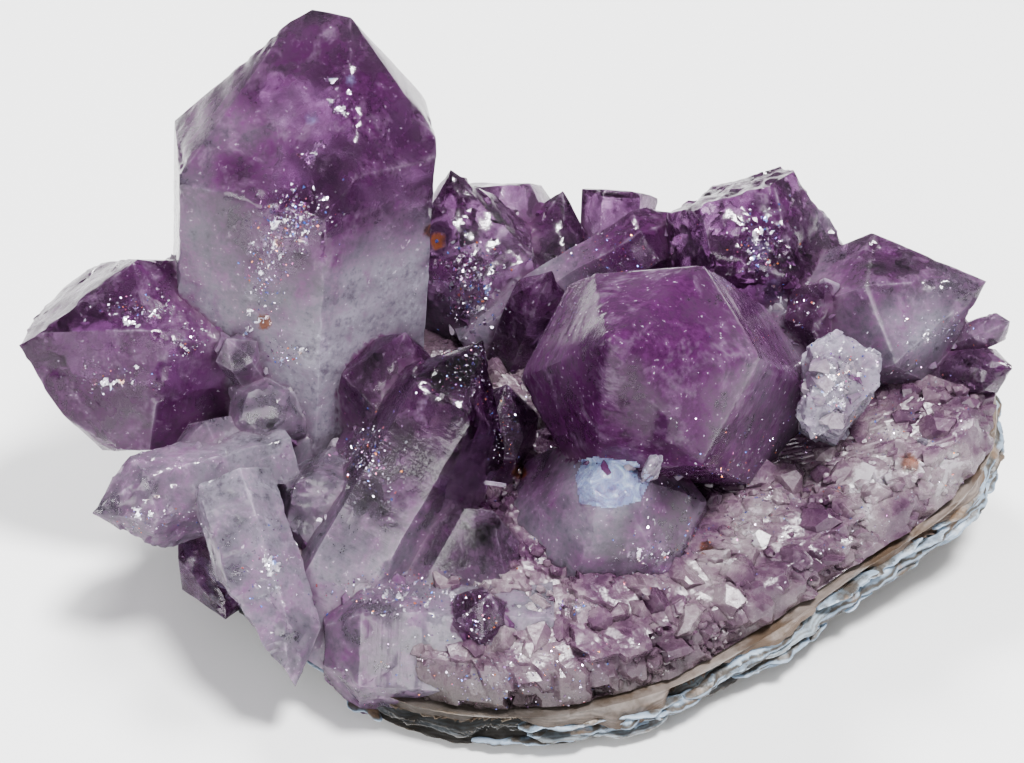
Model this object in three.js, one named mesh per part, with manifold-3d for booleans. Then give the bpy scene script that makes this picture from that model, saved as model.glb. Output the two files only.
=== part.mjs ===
// Amethyst crystal cluster, a loose hand specimen.
//
// Amethyst points grew into one another on a wall of paler quartz, and the wall sits on a
// piece of the agate rind that lined the cavity. Millimetres, +Z up, X along the specimen.
// The origin is on the flat underside of the rind, below the middle of the specimen.

import * as THREE from 'three';
import { ConvexGeometry } from 'three/addons/geometries/ConvexGeometry.js';
import { mergeVertices } from 'three/addons/utils/BufferGeometryUtils.js';
import Module from 'manifold-3d';

const wasm = await Module();
wasm.setup();

const DEGREE = Math.PI / 180;
const SIDES = 6;
// Angle between a quartz crystal's length and the line square to one of its tip faces.
const TIP_FACE_ANGLE = 51.8 * DEGREE;
// Room between the quartz and the rind.
const GAP = 0.4;

// The points are laid out in a frame that leans back with the face of the cluster:
// x along the specimen, y up the slope, z straight out of the slope.
const SLOPE = 36 * DEGREE;
const SLOPE_ORIGIN_HEIGHT = 20;
const ALONG = new THREE.Vector3(1, 0, 0);
const UP_SLOPE = new THREE.Vector3(0, Math.sin(SLOPE), Math.cos(SLOPE));
const OUT_OF_SLOPE = new THREE.Vector3(0, -Math.cos(SLOPE), Math.sin(SLOPE));
const SLOPE_FRAME = new THREE.Matrix4()
  .makeBasis(ALONG, UP_SLOPE, OUT_OF_SLOPE)
  .setPosition(0, 0, SLOPE_ORIGIN_HEIGHT);
const LEVEL_FRAME = new THREE.Matrix4();

// Rim of the rind seen from above, anticlockwise from the front corner: x, y, and how high
// the rind's lower edge curls up off the table there.
const RIM = [
  [0, -38.5, 0.5],
  [15.5, -35, 1],
  [27, -27.5, 2],
  [38.5, -18.5, 4],
  [50, -10, 7],
  [54.5, -1, 10],
  [53.5, 10, 12],
  [44, 20, 11],
  [29, 29, 9],
  [9, 33, 7],
  [-10, 34, 6],
  [-28, 28, 7],
  [-38, 13, 7],
  [-40, -3, 6],
  [-33, -15, 4],
  [-21, -28, 2],
  [-12.5, -35.5, 0.5],
];
const MIDDLE = new THREE.Vector2(3, -1);
const RIM_STEPS = 48;

// The rind is a shallow dish of even thickness, and the quartz wall lines it, WALL_THICKNESS
// high near the rim and WALL_CROWN above the table in the middle. Their profiles are rings:
// out is the share of the way out to the rim, and rough how far a ring's points stray.
const RIND_THICKNESS = 4.5;
const HOLLOW_RINGS = [0, 0.3, 0.6, 0.8, 0.95];
const HOLLOW_CURVE = 2.5;
// The rind's broken edge: up is the share of its thickness above the curled-up lower edge.
const RIND_EDGE = [
  { out: 0.965, up: 0.75, rough: 0.2 },
  { out: 0.95, up: 0.5, rough: 0.3 },
  { out: 0.99, up: 0.35, rough: 0.5 },
  { out: 0.98, up: 0, rough: 0.5 },
];
const UNDERSIDE_BEND = { out: 0.8, height: (curl) => 0.5 + curl * 0.35, rough: 0.4 };
const UNDERSIDE_FLAT = 0.58;
const WALL_THICKNESS = 5;
const WALL_CROWN = 15;
// The wall from its crown to its foot: rise is the share of the way up from its shoulder to
// its crown, and drop the share of its thickness below the shoulder.
const WALL_PROFILE = [
  { out: 0, rise: 1 },
  { out: 0.35, rise: 0.95, rough: 0.9 },
  { out: 0.55, rise: 0.75, rough: 1.2 },
  { out: 0.7, rise: 0.5, rough: 1.2 },
  { out: 0.8, rise: 0.3, rough: 1.1 },
  { out: 0.87, rise: 0.15, rough: 1 },
  { out: 0.92, rough: 0.9 },
  { out: 0.95, drop: 0.35, rough: 0.8 },
  { out: 0.955, drop: 0.65, rough: 0.8 },
  { out: 0.965, drop: 0.9, rough: 0.4 },
];
const WALL_FOOT = 0.9;
// What the quartz is trimmed with reaches past the rim and the deepest crystal.
const TRIM_OUT = 1.04;
const TRIM_DEPTH = 30;
const TRIM_BOX = 400;

// Points. tip and axis are in the frame named by the list. roll turns the six sides round
// the axis, counted from the right-hand side towards the viewer. sides holds the distance of
// each side from the line through the tip. set holds the distance by which each tip face lies
// inside the tip, and is left out where all six meet in it. A plain number stands for all six.
// A cut is a broken face: where, and which way it faces.
const GREAT_POINTS = {
  'tall point': {
    tip: [-17.4, 39, 16],
    axis: [0.07, 0.86, 0.5],
    roll: 52,
    sides: [10.8, 13.4, 17.2, 16.5, 12.4, 9.6],
    set: [0, 0.4, -3, -2, 0.6, 0],
    length: 54,
  },
  'left point': {
    tip: [-53.2, 3.9, 7],
    axis: [-0.88, -0.03, 0.47],
    roll: 27,
    sides: [10, 11.8, 10.4, 9.5, 9, 10],
    set: [0, -3, 0, -3, 0, -1],
    length: 38,
  },
  'great point': {
    tip: [9.5, 4, 31],
    axis: [-0.35, 0.15, 0.92],
    roll: 30,
    sides: [10.4, 11, 14.3, 14.3, 9.9, 10.2],
   
    length: 44,
  },
  'lower point': {
    tip: [10, -9, 22],
    axis: [-0.05, 0.4, 0.91],
    roll: 25,
    sides: [9, 15, 12, 11.5, 8, 9],
   
    length: 26,
    cuts: [{ at: [9.5, -11, 19.5], facing: [0, 0.15, 1] }],
  },
  'bright point': {
    tip: [30.5, 24.5, -5],
    axis: [0.1, 0.82, 0.55],
    roll: 35,
    sides: [9, 9.5, 10.5, 10.5, 8, 9],
    set: [0, -2, -7, -7, -4, 0],
    length: 34,
    cuts: [
      { at: [25.4, 21.4, -5], facing: [-0.36, 0.9, 0.15] },
      { at: [36.5, 18.5, -3], facing: [0.55, 0.5, 0.6] },
    ],
  },
  'right point': {
    tip: [52, 11, 1],
    axis: [0.82, 0.3, 0.48],
    roll: 20,
    sides: [8, 8, 8, 8, 8.3, 8],
   
    length: 30,
    cuts: [{ at: [51.4, 8, 1], facing: [1, -0.15, 0.1] }],
  },
  'long point': {
    tip: [-3, 4.5, 12],
    axis: [0.5, 0.86, 0.02],
    roll: 40,
    sides: [6.6, 5.8, 5.5, 5.5, 6, 8],
   
    length: 38,
  },
};

const LESSER_POINTS = {
  'small point': { tip: [-11.2, 5.4, 12], axis: [0.2, 0.7, 0.69], roll: 20, sides: 5.2, length: 26 },
  'back point': {
    tip: [-7, 24.2, -13],
    axis: [-0.15, 0.85, 0.5],
    roll: 60,
    sides: [8, 8, 7.5, 7.5, 7.5, 8],
   
    length: 36,
    cuts: [{ at: [-3.9, 10, 0], facing: [0.3, 0.35, 0.88] }],
  },
  'ridge left': {
    tip: [0, 28, -22],
    axis: [0.12, 0.92, 0.3],
    roll: 10,
    sides: [6.5, 5.5, 6, 6, 6, 6.5],
   
    length: 32,
    cuts: [{ at: [1, 23.2, -22], facing: [0.05, 1, 0.1] }],
  },
  'ridge right': {
    tip: [13, 29, -22],
    axis: [0.03, 0.97, 0.25],
    roll: 30,
    sides: 4,
   
    length: 34,
    cuts: [{ at: [13, 22.2, -22], facing: [0.06, 1, 0.05] }],
  },
  'ridge between': {
    tip: [6, 22.4, -20],
    axis: [0.2, 0.9, 0.35],
    roll: 45,
    sides: 5,
   
    length: 26,
  },
  'dark point': {
    tip: [20.8, 19, -13],
    axis: [0.85, 0.5, 0.15],
    roll: 30,
    sides: [3.6, 4.5, 4.5, 3.2, 3.2, 3.4],
   
    length: 30,
  },
  'dark shoulder': { tip: [4.5, 12.5, -6], axis: [0.3, 0.75, 0.6], roll: 15, sides: 3.4, length: 18 },
  'spike': {
    tip: [-44.3, -13.9, 14],
    axis: [-0.9, -0.24, 0.36],
    roll: 25,
    sides: [4.2, 5.6, 4.6, 4.4, 4.4, 4.4],
   
    length: 22,
  },
  'spike upper': { tip: [-37.5, -9, 10], axis: [-0.85, -0.15, 0.5], roll: 10, sides: 4, length: 22 },
  'fang': {
    tip: [-22.9, -27.6, 19],
    axis: [0.3, -0.9, 0.3],
    roll: 15,
    sides: [3.4, 3.8, 4.6, 5, 4, 3.4],
    set: [-2, -3, -3, -3, -3, -2],
    length: 19,
    cuts: [{ at: [-29.2, -22.6, 17], facing: [-0.78, -0.62, 0.15] }],
  },
  'left foot': { tip: [-30.5, -25.4, 10], axis: [0.05, -0.75, 0.65], sides: 5, length: 18 },
  'milky point': {
    tip: [-21.5, -11, 17],
    axis: [-0.25, 0.35, 0.9],
   
    sides: [9, 10, 9, 7, 7, 8],
   
    length: 26,
    cuts: [{ at: [-22, -11, 13.5], facing: [-0.15, -0.05, 1] }],
  },
  'milky block': {
    tip: [-26, -1.5, 12],
    axis: [0.05, 0.3, 0.95],
   
    sides: 4.2,
   
    length: 18,
    cuts: [{ at: [-26, -3, 9.5], facing: [0, 0.1, 1] }],
  },
  'hidden point': {
    tip: [-14.5, -5, 12],
    axis: [0.05, 0.5, 0.85],
    roll: 20,
    sides: 4.5,
   
    length: 18,
  },
  'front block': {
    tip: [-24, -27, 15.5],
    axis: [-1, 0.04, 0.04],
    roll: -14,
    sides: [6.6, 6.4, 6.6, 6.6, 6.4, 6.6],
   
    length: 28,
    cuts: [{ at: [-19.6, -27, 14], facing: [-1, 0.05, 0] }],
  },
  'plum point': { tip: [-2.2, -21.5, 23.5], axis: [0.25, 0.6, 0.77], sides: 2.8, length: 12 },
  'leaning point': {
    tip: [-2, -13.4, 17],
    axis: [0.2, 0.7, 0.68],
    roll: 30,
    sides: [6, 6.5, 9, 9, 6, 5.5],
    set: [0, 0, -2, -2, 0, 0],
    length: 24,
  },
  'white shard': {
    tip: [35.6, 1.8, 16],
    axis: [0.05, 0.25, 0.96],
   
    sides: [3.8, 5.5, 4.5, 3.6, 5, 4.4],
   
    length: 22,
    cuts: [{ at: [35, 0.8, 11], facing: [0.15, 0.05, 1] }],
  },
  'valley point': {
    tip: [-0.6, -0.2, 8],
    axis: [0.1, 0.75, 0.65],
    roll: 25,
    sides: [3.6, 5, 5.4, 4.4, 3.4, 3.4],
    length: 22,
  },
  'brown point': { tip: [34.5, 11, 2], axis: [0.05, 0.6, 0.8], roll: 10, sides: 4, length: 16 },
  'end point': { tip: [54.6, 6.6, 1], axis: [0.6, 0.3, 0.74], sides: 1.9, length: 12 },
  'end point lower': { tip: [55, 1.6, 2], axis: [0.75, 0.1, 0.66], roll: 30, sides: 2.5, length: 14 },
};

// Points on the far side. Their frame is level: x along, y away from the viewer, z up.
const FAR_POINTS = {
  'far left': { tip: [-31, 23, 24], axis: [-0.45, 0.45, 0.77], roll: 15, sides: 5.5, length: 22 },
  'far left low': { tip: [-21, 35, 18], axis: [-0.2, 0.75, 0.63], roll: 40, sides: 6, length: 22 },
  'far middle': { tip: [9, 36.5, 17], axis: [0, 0.78, 0.62], roll: 5, sides: 5, length: 18 },
  'far right': { tip: [30, 28, 23], axis: [0.25, 0.55, 0.8], roll: 25, sides: 6.5, length: 22 },
  'far end': { tip: [45, 21, 22.5], axis: [0.5, 0.4, 0.77], roll: 50, sides: 4.8, length: 18 },
};

// Small points scattered over the wall's slopes, in a belt of shares of the way out. Each
// stands out of the wall by a share of its radius, and its tip may be worn by up to
// DRUSE_WEAR of it.
const DRUSE_COUNT = 130;
const DRUSE_RADIUS = [1.3, 3.4];
const DRUSE_BELT = [0.35, 0.92];
const DRUSE_RISE = [0.95, 0];
const DRUSE_STAND = 1;
const DRUSE_LENGTH = 4;
const DRUSE_WEAR = 0.5;
const DRUSE_SEED = 13;
const ROUGH_SEED = 3;
const GOLDEN_SHARE = 0.618034;

function seeded(seed) {
  let state = seed;
  return () => {
    state = (state + 0x6d2b79f5) | 0;
    let mixed = Math.imul(state ^ (state >>> 15), 1 | state);
    mixed = (mixed + Math.imul(mixed ^ (mixed >>> 7), 61 | mixed)) ^ mixed;
    return ((mixed ^ (mixed >>> 14)) >>> 0) / 4294967296;
  };
}

function between(random, [low, high]) {
  return low + (high - low) * random();
}

function sixOf(value) {
  return Array.isArray(value) ? value : new Array(SIDES).fill(value);
}

function plane(normal, at) {
  return { normal, offset: normal.dot(at) };
}

// Corners of the convex solid inside all the planes.
function cornersInside(planes) {
  const corners = [];
  const solve = new THREE.Matrix3();
  for (let a = 0; a < planes.length; a++) {
    for (let b = a + 1; b < planes.length; b++) {
      for (let c = b + 1; c < planes.length; c++) {
        const [p, q, r] = [planes[a], planes[b], planes[c]];
        solve.set(
          p.normal.x, p.normal.y, p.normal.z,
          q.normal.x, q.normal.y, q.normal.z,
          r.normal.x, r.normal.y, r.normal.z,
        );
        if (Math.abs(solve.determinant()) < 1e-6) continue;
        const corner = new THREE.Vector3(p.offset, q.offset, r.offset).applyMatrix3(solve.invert());
        const inside = planes.every(({ normal, offset }) => normal.dot(corner) <= offset + 1e-5);
        const known = corners.some((other) => other.distanceTo(corner) < 1e-3);
        if (inside && !known) corners.push(corner);
      }
    }
  }
  return corners;
}

function crystal({ tip, axis, roll = 0, sides, set = 0, length, cuts = [] }) {
  const top = new THREE.Vector3(...tip);
  const lengthwise = new THREE.Vector3(...axis).normalize();
  const rightward = ALONG.clone().addScaledVector(lengthwise, -lengthwise.x).normalize();
  const viewerward = rightward.clone().cross(lengthwise);
  const sideDistances = sixOf(sides);
  const tipSets = sixOf(set);
  const planes = [plane(lengthwise.clone().negate(), top.clone().addScaledVector(lengthwise, -length))];
  for (let side = 0; side < SIDES; side++) {
    const angle = roll * DEGREE + (side * 2 * Math.PI) / SIDES;
    const outward = rightward.clone().multiplyScalar(Math.cos(angle))
      .addScaledVector(viewerward, Math.sin(angle));
    const tipFace = lengthwise.clone().multiplyScalar(Math.cos(TIP_FACE_ANGLE))
      .addScaledVector(outward, Math.sin(TIP_FACE_ANGLE));
    planes.push({ normal: outward, offset: outward.dot(top) + sideDistances[side] });
    planes.push({ normal: tipFace, offset: tipFace.dot(top) - tipSets[side] });
  }
  for (const { at, facing } of cuts) {
    planes.push(plane(new THREE.Vector3(...facing).normalize(), new THREE.Vector3(...at)));
  }
  return new ConvexGeometry(cornersInside(planes));
}

function solidOf(geometry) {
  const bare = geometry.clone();
  bare.deleteAttribute('normal');
  bare.deleteAttribute('uv');
  const merged = mergeVertices(bare, 1e-4);
  return new wasm.Manifold(new wasm.Mesh({
    numProp: 3,
    vertProperties: new Float32Array(merged.attributes.position.array),
    triVerts: new Uint32Array(merged.index.array),
  }));
}

function geometryOf(solid) {
  const { vertProperties, triVerts } = solid.getMesh();
  const geometry = new THREE.BufferGeometry();
  geometry.setAttribute('position', new THREE.BufferAttribute(vertProperties, 3));
  geometry.setIndex(new THREE.BufferAttribute(triVerts, 1));
  return geometry;
}

const rimCurve = new THREE.CatmullRomCurve3(RIM.map((point) => new THREE.Vector3(...point)), true);

function placeAt(out, round, height) {
  const rim = rimCurve.getPoint(round);
  return new THREE.Vector3(
    MIDDLE.x + (rim.x - MIDDLE.x) * out,
    MIDDLE.y + (rim.y - MIDDLE.y) * out,
    height(rim.z),
  );
}

// A closed solid from rings stacked top to bottom. Each ring lies a share out of the way to
// the rim, at a height that depends on how far the rind curls up there. Its points stray by
// up to rough, in millimetres.
function mound(rings) {
  const random = seeded(ROUGH_SEED);
  const geometry = new THREE.SphereGeometry(1, RIM_STEPS, rings.length - 1);
  const positions = geometry.attributes.position;
  rings.forEach(({ out, height, rough = 0 }, row) => {
    const points = Array.from({ length: RIM_STEPS }, (_, step) => {
      const stray = new THREE.Vector3(random() - 0.5, random() - 0.5, random() - 0.5);
      return placeAt(out, step / RIM_STEPS, height).addScaledVector(stray, 2 * rough);
    });
    for (let step = 0; step <= RIM_STEPS; step++) {
      positions.setXYZ(row * (RIM_STEPS + 1) + step, ...points[step % RIM_STEPS].toArray());
    }
  });
  return solidOf(geometry);
}

// Floor of the hollow in the rind, raised by lift, as rings.
function hollow(lift) {
  return HOLLOW_RINGS.map((out) => ({
    out,
    height: (curl) => RIND_THICKNESS + lift + curl * out ** HOLLOW_CURVE,
  }));
}

function rind() {
  return mound([
    ...hollow(0),
    ...RIND_EDGE.map(({ out, up, rough }) => ({
      out,
      rough,
      height: (curl) => curl + RIND_THICKNESS * up,
    })),
    UNDERSIDE_BEND,
    { out: UNDERSIDE_FLAT, height: () => 0 },
    { out: 0, height: () => 0 },
  ]);
}

// Everything below the quartz: the hollow's floor raised by the gap, and the space under it.
function underQuartz() {
  return mound([
    ...hollow(GAP),
    { out: TRIM_OUT, height: (curl) => curl + RIND_THICKNESS + GAP },
    { out: TRIM_OUT, height: () => -TRIM_DEPTH },
    { out: 0, height: () => -TRIM_DEPTH },
  ]);
}

// Height of the wall's surface, from its shoulder near the rim (rise 0) to its crown (rise 1).
function wallHeight(rise, curl) {
  const shoulder = curl + RIND_THICKNESS + WALL_THICKNESS;
  return THREE.MathUtils.lerp(shoulder, WALL_CROWN, rise);
}

function wall() {
  return mound([
    ...WALL_PROFILE.map(({ out, rise = 0, drop = 0, rough }) => ({
      out,
      rough,
      height: (curl) => wallHeight(rise, curl) - WALL_THICKNESS * drop,
    })),
    { out: WALL_FOOT, height: () => 0 },
    { out: 0, height: () => 0 },
  ]);
}

function druse() {
  const random = seeded(DRUSE_SEED);
  const points = [];
  for (let count = 0; count < DRUSE_COUNT; count++) {
    const round = (count * GOLDEN_SHARE) % 1;
    const out = between(random, DRUSE_BELT);
    const rise = THREE.MathUtils.mapLinear(out, ...DRUSE_BELT, ...DRUSE_RISE);
    const place = placeAt(out, round, (curl) => wallHeight(rise, curl));
    const radius = between(random, DRUSE_RADIUS);
    const outward = new THREE.Vector3(place.x - MIDDLE.x, place.y - MIDDLE.y, 0).normalize();
    const axis = outward.add(new THREE.Vector3(random() - 0.5, random() - 0.5, 0.5 + random())).normalize();
    points.push({
      tip: place.addScaledVector(axis, radius * DRUSE_STAND).toArray(),
      axis: axis.toArray(),
      roll: (random() * 360) / SIDES,
      sides: radius,
      set: Array.from({ length: SIDES }, (_, side) => -(side % 2) * DRUSE_WEAR * radius * random()),
      length: radius * DRUSE_LENGTH,
    });
  }
  return points;
}

function grow(points, frame) {
  return Object.values(points).map((point) => solidOf(crystal(point).applyMatrix4(frame)));
}

// The table and all that is under it.
function ground() {
  const box = new THREE.BoxGeometry(TRIM_BOX, TRIM_BOX, TRIM_BOX);
  box.translate(0, 0, GAP - TRIM_BOX / 2);
  return solidOf(box);
}

function quartz() {
  const pieces = [
    wall(),
    ...grow(GREAT_POINTS, SLOPE_FRAME),
    ...grow(LESSER_POINTS, SLOPE_FRAME),
    ...grow(FAR_POINTS, LEVEL_FRAME),
    ...grow(druse(), LEVEL_FRAME),
  ];
  const joined = pieces.reduce((whole, piece) => whole.add(piece));
  return joined.subtract(underQuartz()).subtract(ground());
}

function meshOf(name, solid, { color, roughness }) {
  const material = new THREE.MeshStandardMaterial({ color, roughness, metalness: 0, flatShading: true });
  const mesh = new THREE.Mesh(geometryOf(solid), material);
  mesh.name = name;
  return mesh;
}

const specimen = new THREE.Group();
specimen.add(meshOf('amethyst_crystals', quartz(), { color: 0x7a4a94, roughness: 0.15 }));
specimen.add(meshOf('agate_rind', rind(), { color: 0xb9ae9c, roughness: 0.6 }));

export default specimen;
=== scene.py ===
"""An amethyst crystal cluster on its agate rind, a loose hand specimen.

Lengths are in millimetres until a mesh is made, and +Z is up. The crystal points are listed
as in the part's source: each is the convex solid inside its six sides, six tip faces and any
broken faces. Here they are cut fine, given growth lines, steps, chips and broken-glass
ripples, and grown into one another.
"""
import itertools
import math

import bpy
import numpy as np
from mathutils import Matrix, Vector
from mathutils.bvhtree import BVHTree


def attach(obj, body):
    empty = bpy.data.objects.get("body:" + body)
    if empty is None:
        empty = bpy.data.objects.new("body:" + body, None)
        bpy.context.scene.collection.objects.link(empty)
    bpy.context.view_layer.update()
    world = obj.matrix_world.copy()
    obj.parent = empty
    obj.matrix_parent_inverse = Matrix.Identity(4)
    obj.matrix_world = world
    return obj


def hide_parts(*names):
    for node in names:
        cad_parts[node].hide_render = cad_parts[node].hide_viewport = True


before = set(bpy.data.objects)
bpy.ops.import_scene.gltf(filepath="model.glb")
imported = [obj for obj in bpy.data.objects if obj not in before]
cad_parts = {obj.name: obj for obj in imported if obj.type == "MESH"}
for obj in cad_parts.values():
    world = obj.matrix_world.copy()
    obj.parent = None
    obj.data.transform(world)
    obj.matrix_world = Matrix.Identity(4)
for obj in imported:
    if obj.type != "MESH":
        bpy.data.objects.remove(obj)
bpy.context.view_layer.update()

MM = 0.001

# The frame that leans back with the face of the cluster: x along, y up the slope, z out of it.
SLOPE = math.radians(36)

SLOPE_AXES = np.array([
    [1, 0, 0],
    [0, math.sin(SLOPE), math.cos(SLOPE)],
    [0, -math.cos(SLOPE), math.sin(SLOPE)],
])

SLOPE_ORIGIN = np.array([0, 0, 20.0])

# Angle between a quartz crystal's length and the line square to one of its tip faces.
TIP_FACE_ANGLE = math.radians(51.8)

SIDES = 6

# The longest edge on the faces of most crystals.
FINE = 1.02

BASE, SIDE, TIP, BROKEN = range(4)

# Points in the slope frame. deep is how purple a point is at its tip, fade where along it the
# purple has gone, in millimetres from the tip, and cloud how milky it is at the tip and below.
GREAT_POINTS = {
    "tall point": dict(
        tip=(-17.4, 39, 16), axis=(0.07, 0.86, 0.5), roll=52,
        sides=(10.8, 13.4, 17.2, 16.5, 12.4, 9.6), set=(0, 0.4, -3, -2, 0.6, 0), length=54,
        deep=0.75, fade=(16, 34), cloud=(0.5, 1.0),
    ),
    "left point": dict(
        tip=(-53.2, 3.9, 7), axis=(-0.88, -0.03, 0.47), roll=27,
        sides=(10, 11.8, 10.4, 9.5, 9, 10), set=(0, -3, 0, -3, 0, -1), length=38,
        deep=1.0, fade=(14, 34), cloud=(0.55, 0.7), rough=0.12,
    ),
    "great point": dict(
        tip=(9.5, 4, 31), axis=(-0.35, 0.15, 0.92), roll=30,
        sides=(10.4, 11, 14.3, 14.3, 9.9, 10.2), length=44,
        deep=1.15, fade=(22, 48), cloud=(0.85, 0.9), wear=0.5, soft=0.15,
    ),
    "lower point": dict(
        tip=(10, -9, 22), axis=(-0.05, 0.4, 0.91), roll=25,
        sides=(9, 15, 12, 11.5, 8, 9), length=26,
        cuts=[((9.5, -11, 19.5), (0, 0.15, 1))],
        deep=0.55, fade=(8, 26), cloud=(0.6, 0.7), wear=0.8, soft=0.1,
    ),
    "bright point": dict(
        tip=(30.5, 24.5, -5), axis=(0.1, 0.82, 0.55), roll=35,
        sides=(9, 9.5, 10.5, 10.5, 8, 9), set=(0, -2, -7, -7, -4, 0), length=34,
        cuts=[((25.4, 21.4, -5), (-0.36, 0.9, 0.15)), ((36.5, 18.5, -3), (0.55, 0.5, 0.6))],
        deep=0.9, fade=(16, 34), cloud=(0.4, 0.6), rough=0.4,
    ),
    "right point": dict(
        tip=(52, 11, 1), axis=(0.82, 0.3, 0.48), roll=20,
        sides=(8, 8, 8, 8, 8.3, 8), length=30,
        cuts=[((51.4, 8, 1), (1, -0.15, 0.1))],
        deep=0.75, fade=(10, 24), cloud=(0.5, 0.8),
    ),
    "long point": dict(
        tip=(-3, 4.5, 12), axis=(0.5, 0.86, 0.02), roll=40,
        sides=(6.6, 5.8, 5.5, 5.5, 6, 8), length=38,
        deep=0.8, fade=(8, 30), cloud=(0.35, 0.7),
    ),
}

LESSER_POINTS = {
    "small point": dict(
        tip=(-11.2, 5.4, 12), axis=(0.2, 0.7, 0.69), roll=20, sides=5.2, length=26, deep=0.9,
    ),
    "back point": dict(
        tip=(-7, 24.2, -13), axis=(-0.15, 0.85, 0.5), roll=60,
        sides=(8, 8, 7.5, 7.5, 7.5, 8), length=36,
        cuts=[((-3.9, 10, 0), (0.3, 0.35, 0.88))], deep=0.9, rough=0.3,
    ),
    "ridge left": dict(
        tip=(0, 28, -22), axis=(0.12, 0.92, 0.3), roll=10, sides=(6.5, 5.5, 6, 6, 6, 6.5),
        length=32, cuts=[((1, 23.2, -22), (0.05, 1, 0.1))], deep=0.9,
    ),
    "ridge right": dict(
        tip=(13, 29, -22), axis=(0.03, 0.97, 0.25), roll=30, sides=4,
        length=34, cuts=[((13, 22.2, -22), (0.06, 1, 0.05))], deep=1.0,
    ),
    "ridge between": dict(
        tip=(6, 22.4, -20), axis=(0.2, 0.9, 0.35), roll=45, sides=5, length=26, deep=0.9,
    ),
    "dark point": dict(
        tip=(20.8, 19, -13), axis=(0.85, 0.5, 0.15), roll=30,
        sides=(3.6, 4.5, 4.5, 3.2, 3.2, 3.4), length=30, deep=1.0,
    ),
    "dark shoulder": dict(
        tip=(4.5, 12.5, -6), axis=(0.3, 0.75, 0.6), roll=15, sides=3.4, length=18, deep=1.0,
    ),
    "spike": dict(
        tip=(-44.3, -13.9, 14), axis=(-0.9, -0.24, 0.36), roll=25,
        sides=(4.2, 5.6, 4.6, 4.4, 4.4, 4.4), rough=0.25, fine=0.6, length=22, deep=0.38,
        cloud=(0.6, 0.8),
    ),
    "spike upper": dict(
        tip=(-37.5, -9, 10), axis=(-0.85, -0.15, 0.5), roll=10, sides=4, length=22,
        deep=0.3, cloud=(0.4, 0.7),
    ),
    "fang": dict(
        tip=(-22.9, -27.6, 19), axis=(0.3, -0.9, 0.3), roll=15,
        sides=(3.4, 3.8, 4.6, 5, 4, 3.4), set=(-2, -3, -3, -3, -3, -2), length=19,
        cuts=[((-29.2, -22.6, 17), (-0.78, -0.62, 0.15))], deep=0.25, cloud=(0.65, 0.8), rough=0.2,
        fine=0.6,
    ),
    "left foot": dict(tip=(-30.5, -25.4, 10), axis=(0.05, -0.75, 0.65), sides=5, length=18, deep=0.9),
    "milky point": dict(
        tip=(-21.5, -11, 17), axis=(-0.25, 0.35, 0.9), sides=(9, 10, 9, 7, 7, 8), length=26,
        cuts=[((-22, -11, 13.5), (-0.15, -0.05, 1))], deep=0.25, cloud=(0.55, 0.75), rough=0.3, fine=0.7,
    ),
    "milky block": dict(
        tip=(-26, -1.5, 12), axis=(0.05, 0.3, 0.95), sides=4.2, length=18,
        cuts=[((-26, -3, 9.5), (0, 0.1, 1))], deep=0.3, cloud=(0.5, 0.75), rough=0.25,
    ),
    "hidden point": dict(
        tip=(-14.5, -5, 12), axis=(0.05, 0.5, 0.85), roll=20, sides=4.5, length=18, deep=0.6,
    ),
    "front block": dict(
        tip=(-24, -27, 15.5), axis=(-1, 0.04, 0.04), roll=-14,
        sides=(6.6, 6.4, 6.6, 6.6, 6.4, 6.6), length=28,
        cuts=[((-19.6, -27, 14), (-1, 0.05, 0))], deep=0.5, cloud=(0.6, 0.7), rough=0.12, fine=0.6,
    ),
    "plum point": dict(tip=(-2.2, -21.5, 23.5), axis=(0.25, 0.6, 0.77), sides=2.8, length=12, deep=1.0),
    "leaning point": dict(
        tip=(-2, -13.4, 17), axis=(0.2, 0.7, 0.68), roll=30,
        sides=(6, 6.5, 9, 9, 6, 5.5), set=(0, 0, -2, -2, 0, 0), length=24, deep=0.6, fade=(3, 14),
    ),
    "white shard": dict(
        tip=(35.6, 1.8, 16), axis=(0.05, 0.25, 0.96), sides=(3.8, 5.5, 4.5, 3.6, 5, 4.4), length=22,
        cuts=[
            ((35, 0.8, 11), (0.15, 0.05, 1)), ((37.6, -2, 10), (0.75, -0.65, 0.2)),
            ((33, 4.5, 11), (-0.5, 0.7, 0.5)),
        ], deep=0.02, cloud=(0.85, 0.9), rough=0.45, fine=0.45,
    ),
    "valley point": dict(
        tip=(-0.6, -0.2, 8), axis=(0.1, 0.75, 0.65), roll=25,
        sides=(3.6, 5, 5.4, 4.4, 3.4, 3.4), length=22, deep=0.9,
    ),
    "brown point": dict(tip=(34.5, 11, 2), axis=(0.05, 0.6, 0.8), roll=10, sides=4, length=16, deep=0.9),
    "end point": dict(tip=(54.6, 6.6, 1), axis=(0.6, 0.3, 0.74), sides=1.9, length=12, deep=0.5),
    "end point lower": dict(
        tip=(55, 1.6, 2), axis=(0.75, 0.1, 0.66), roll=30, sides=2.5, length=14, deep=0.8,
    ),
}

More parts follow.
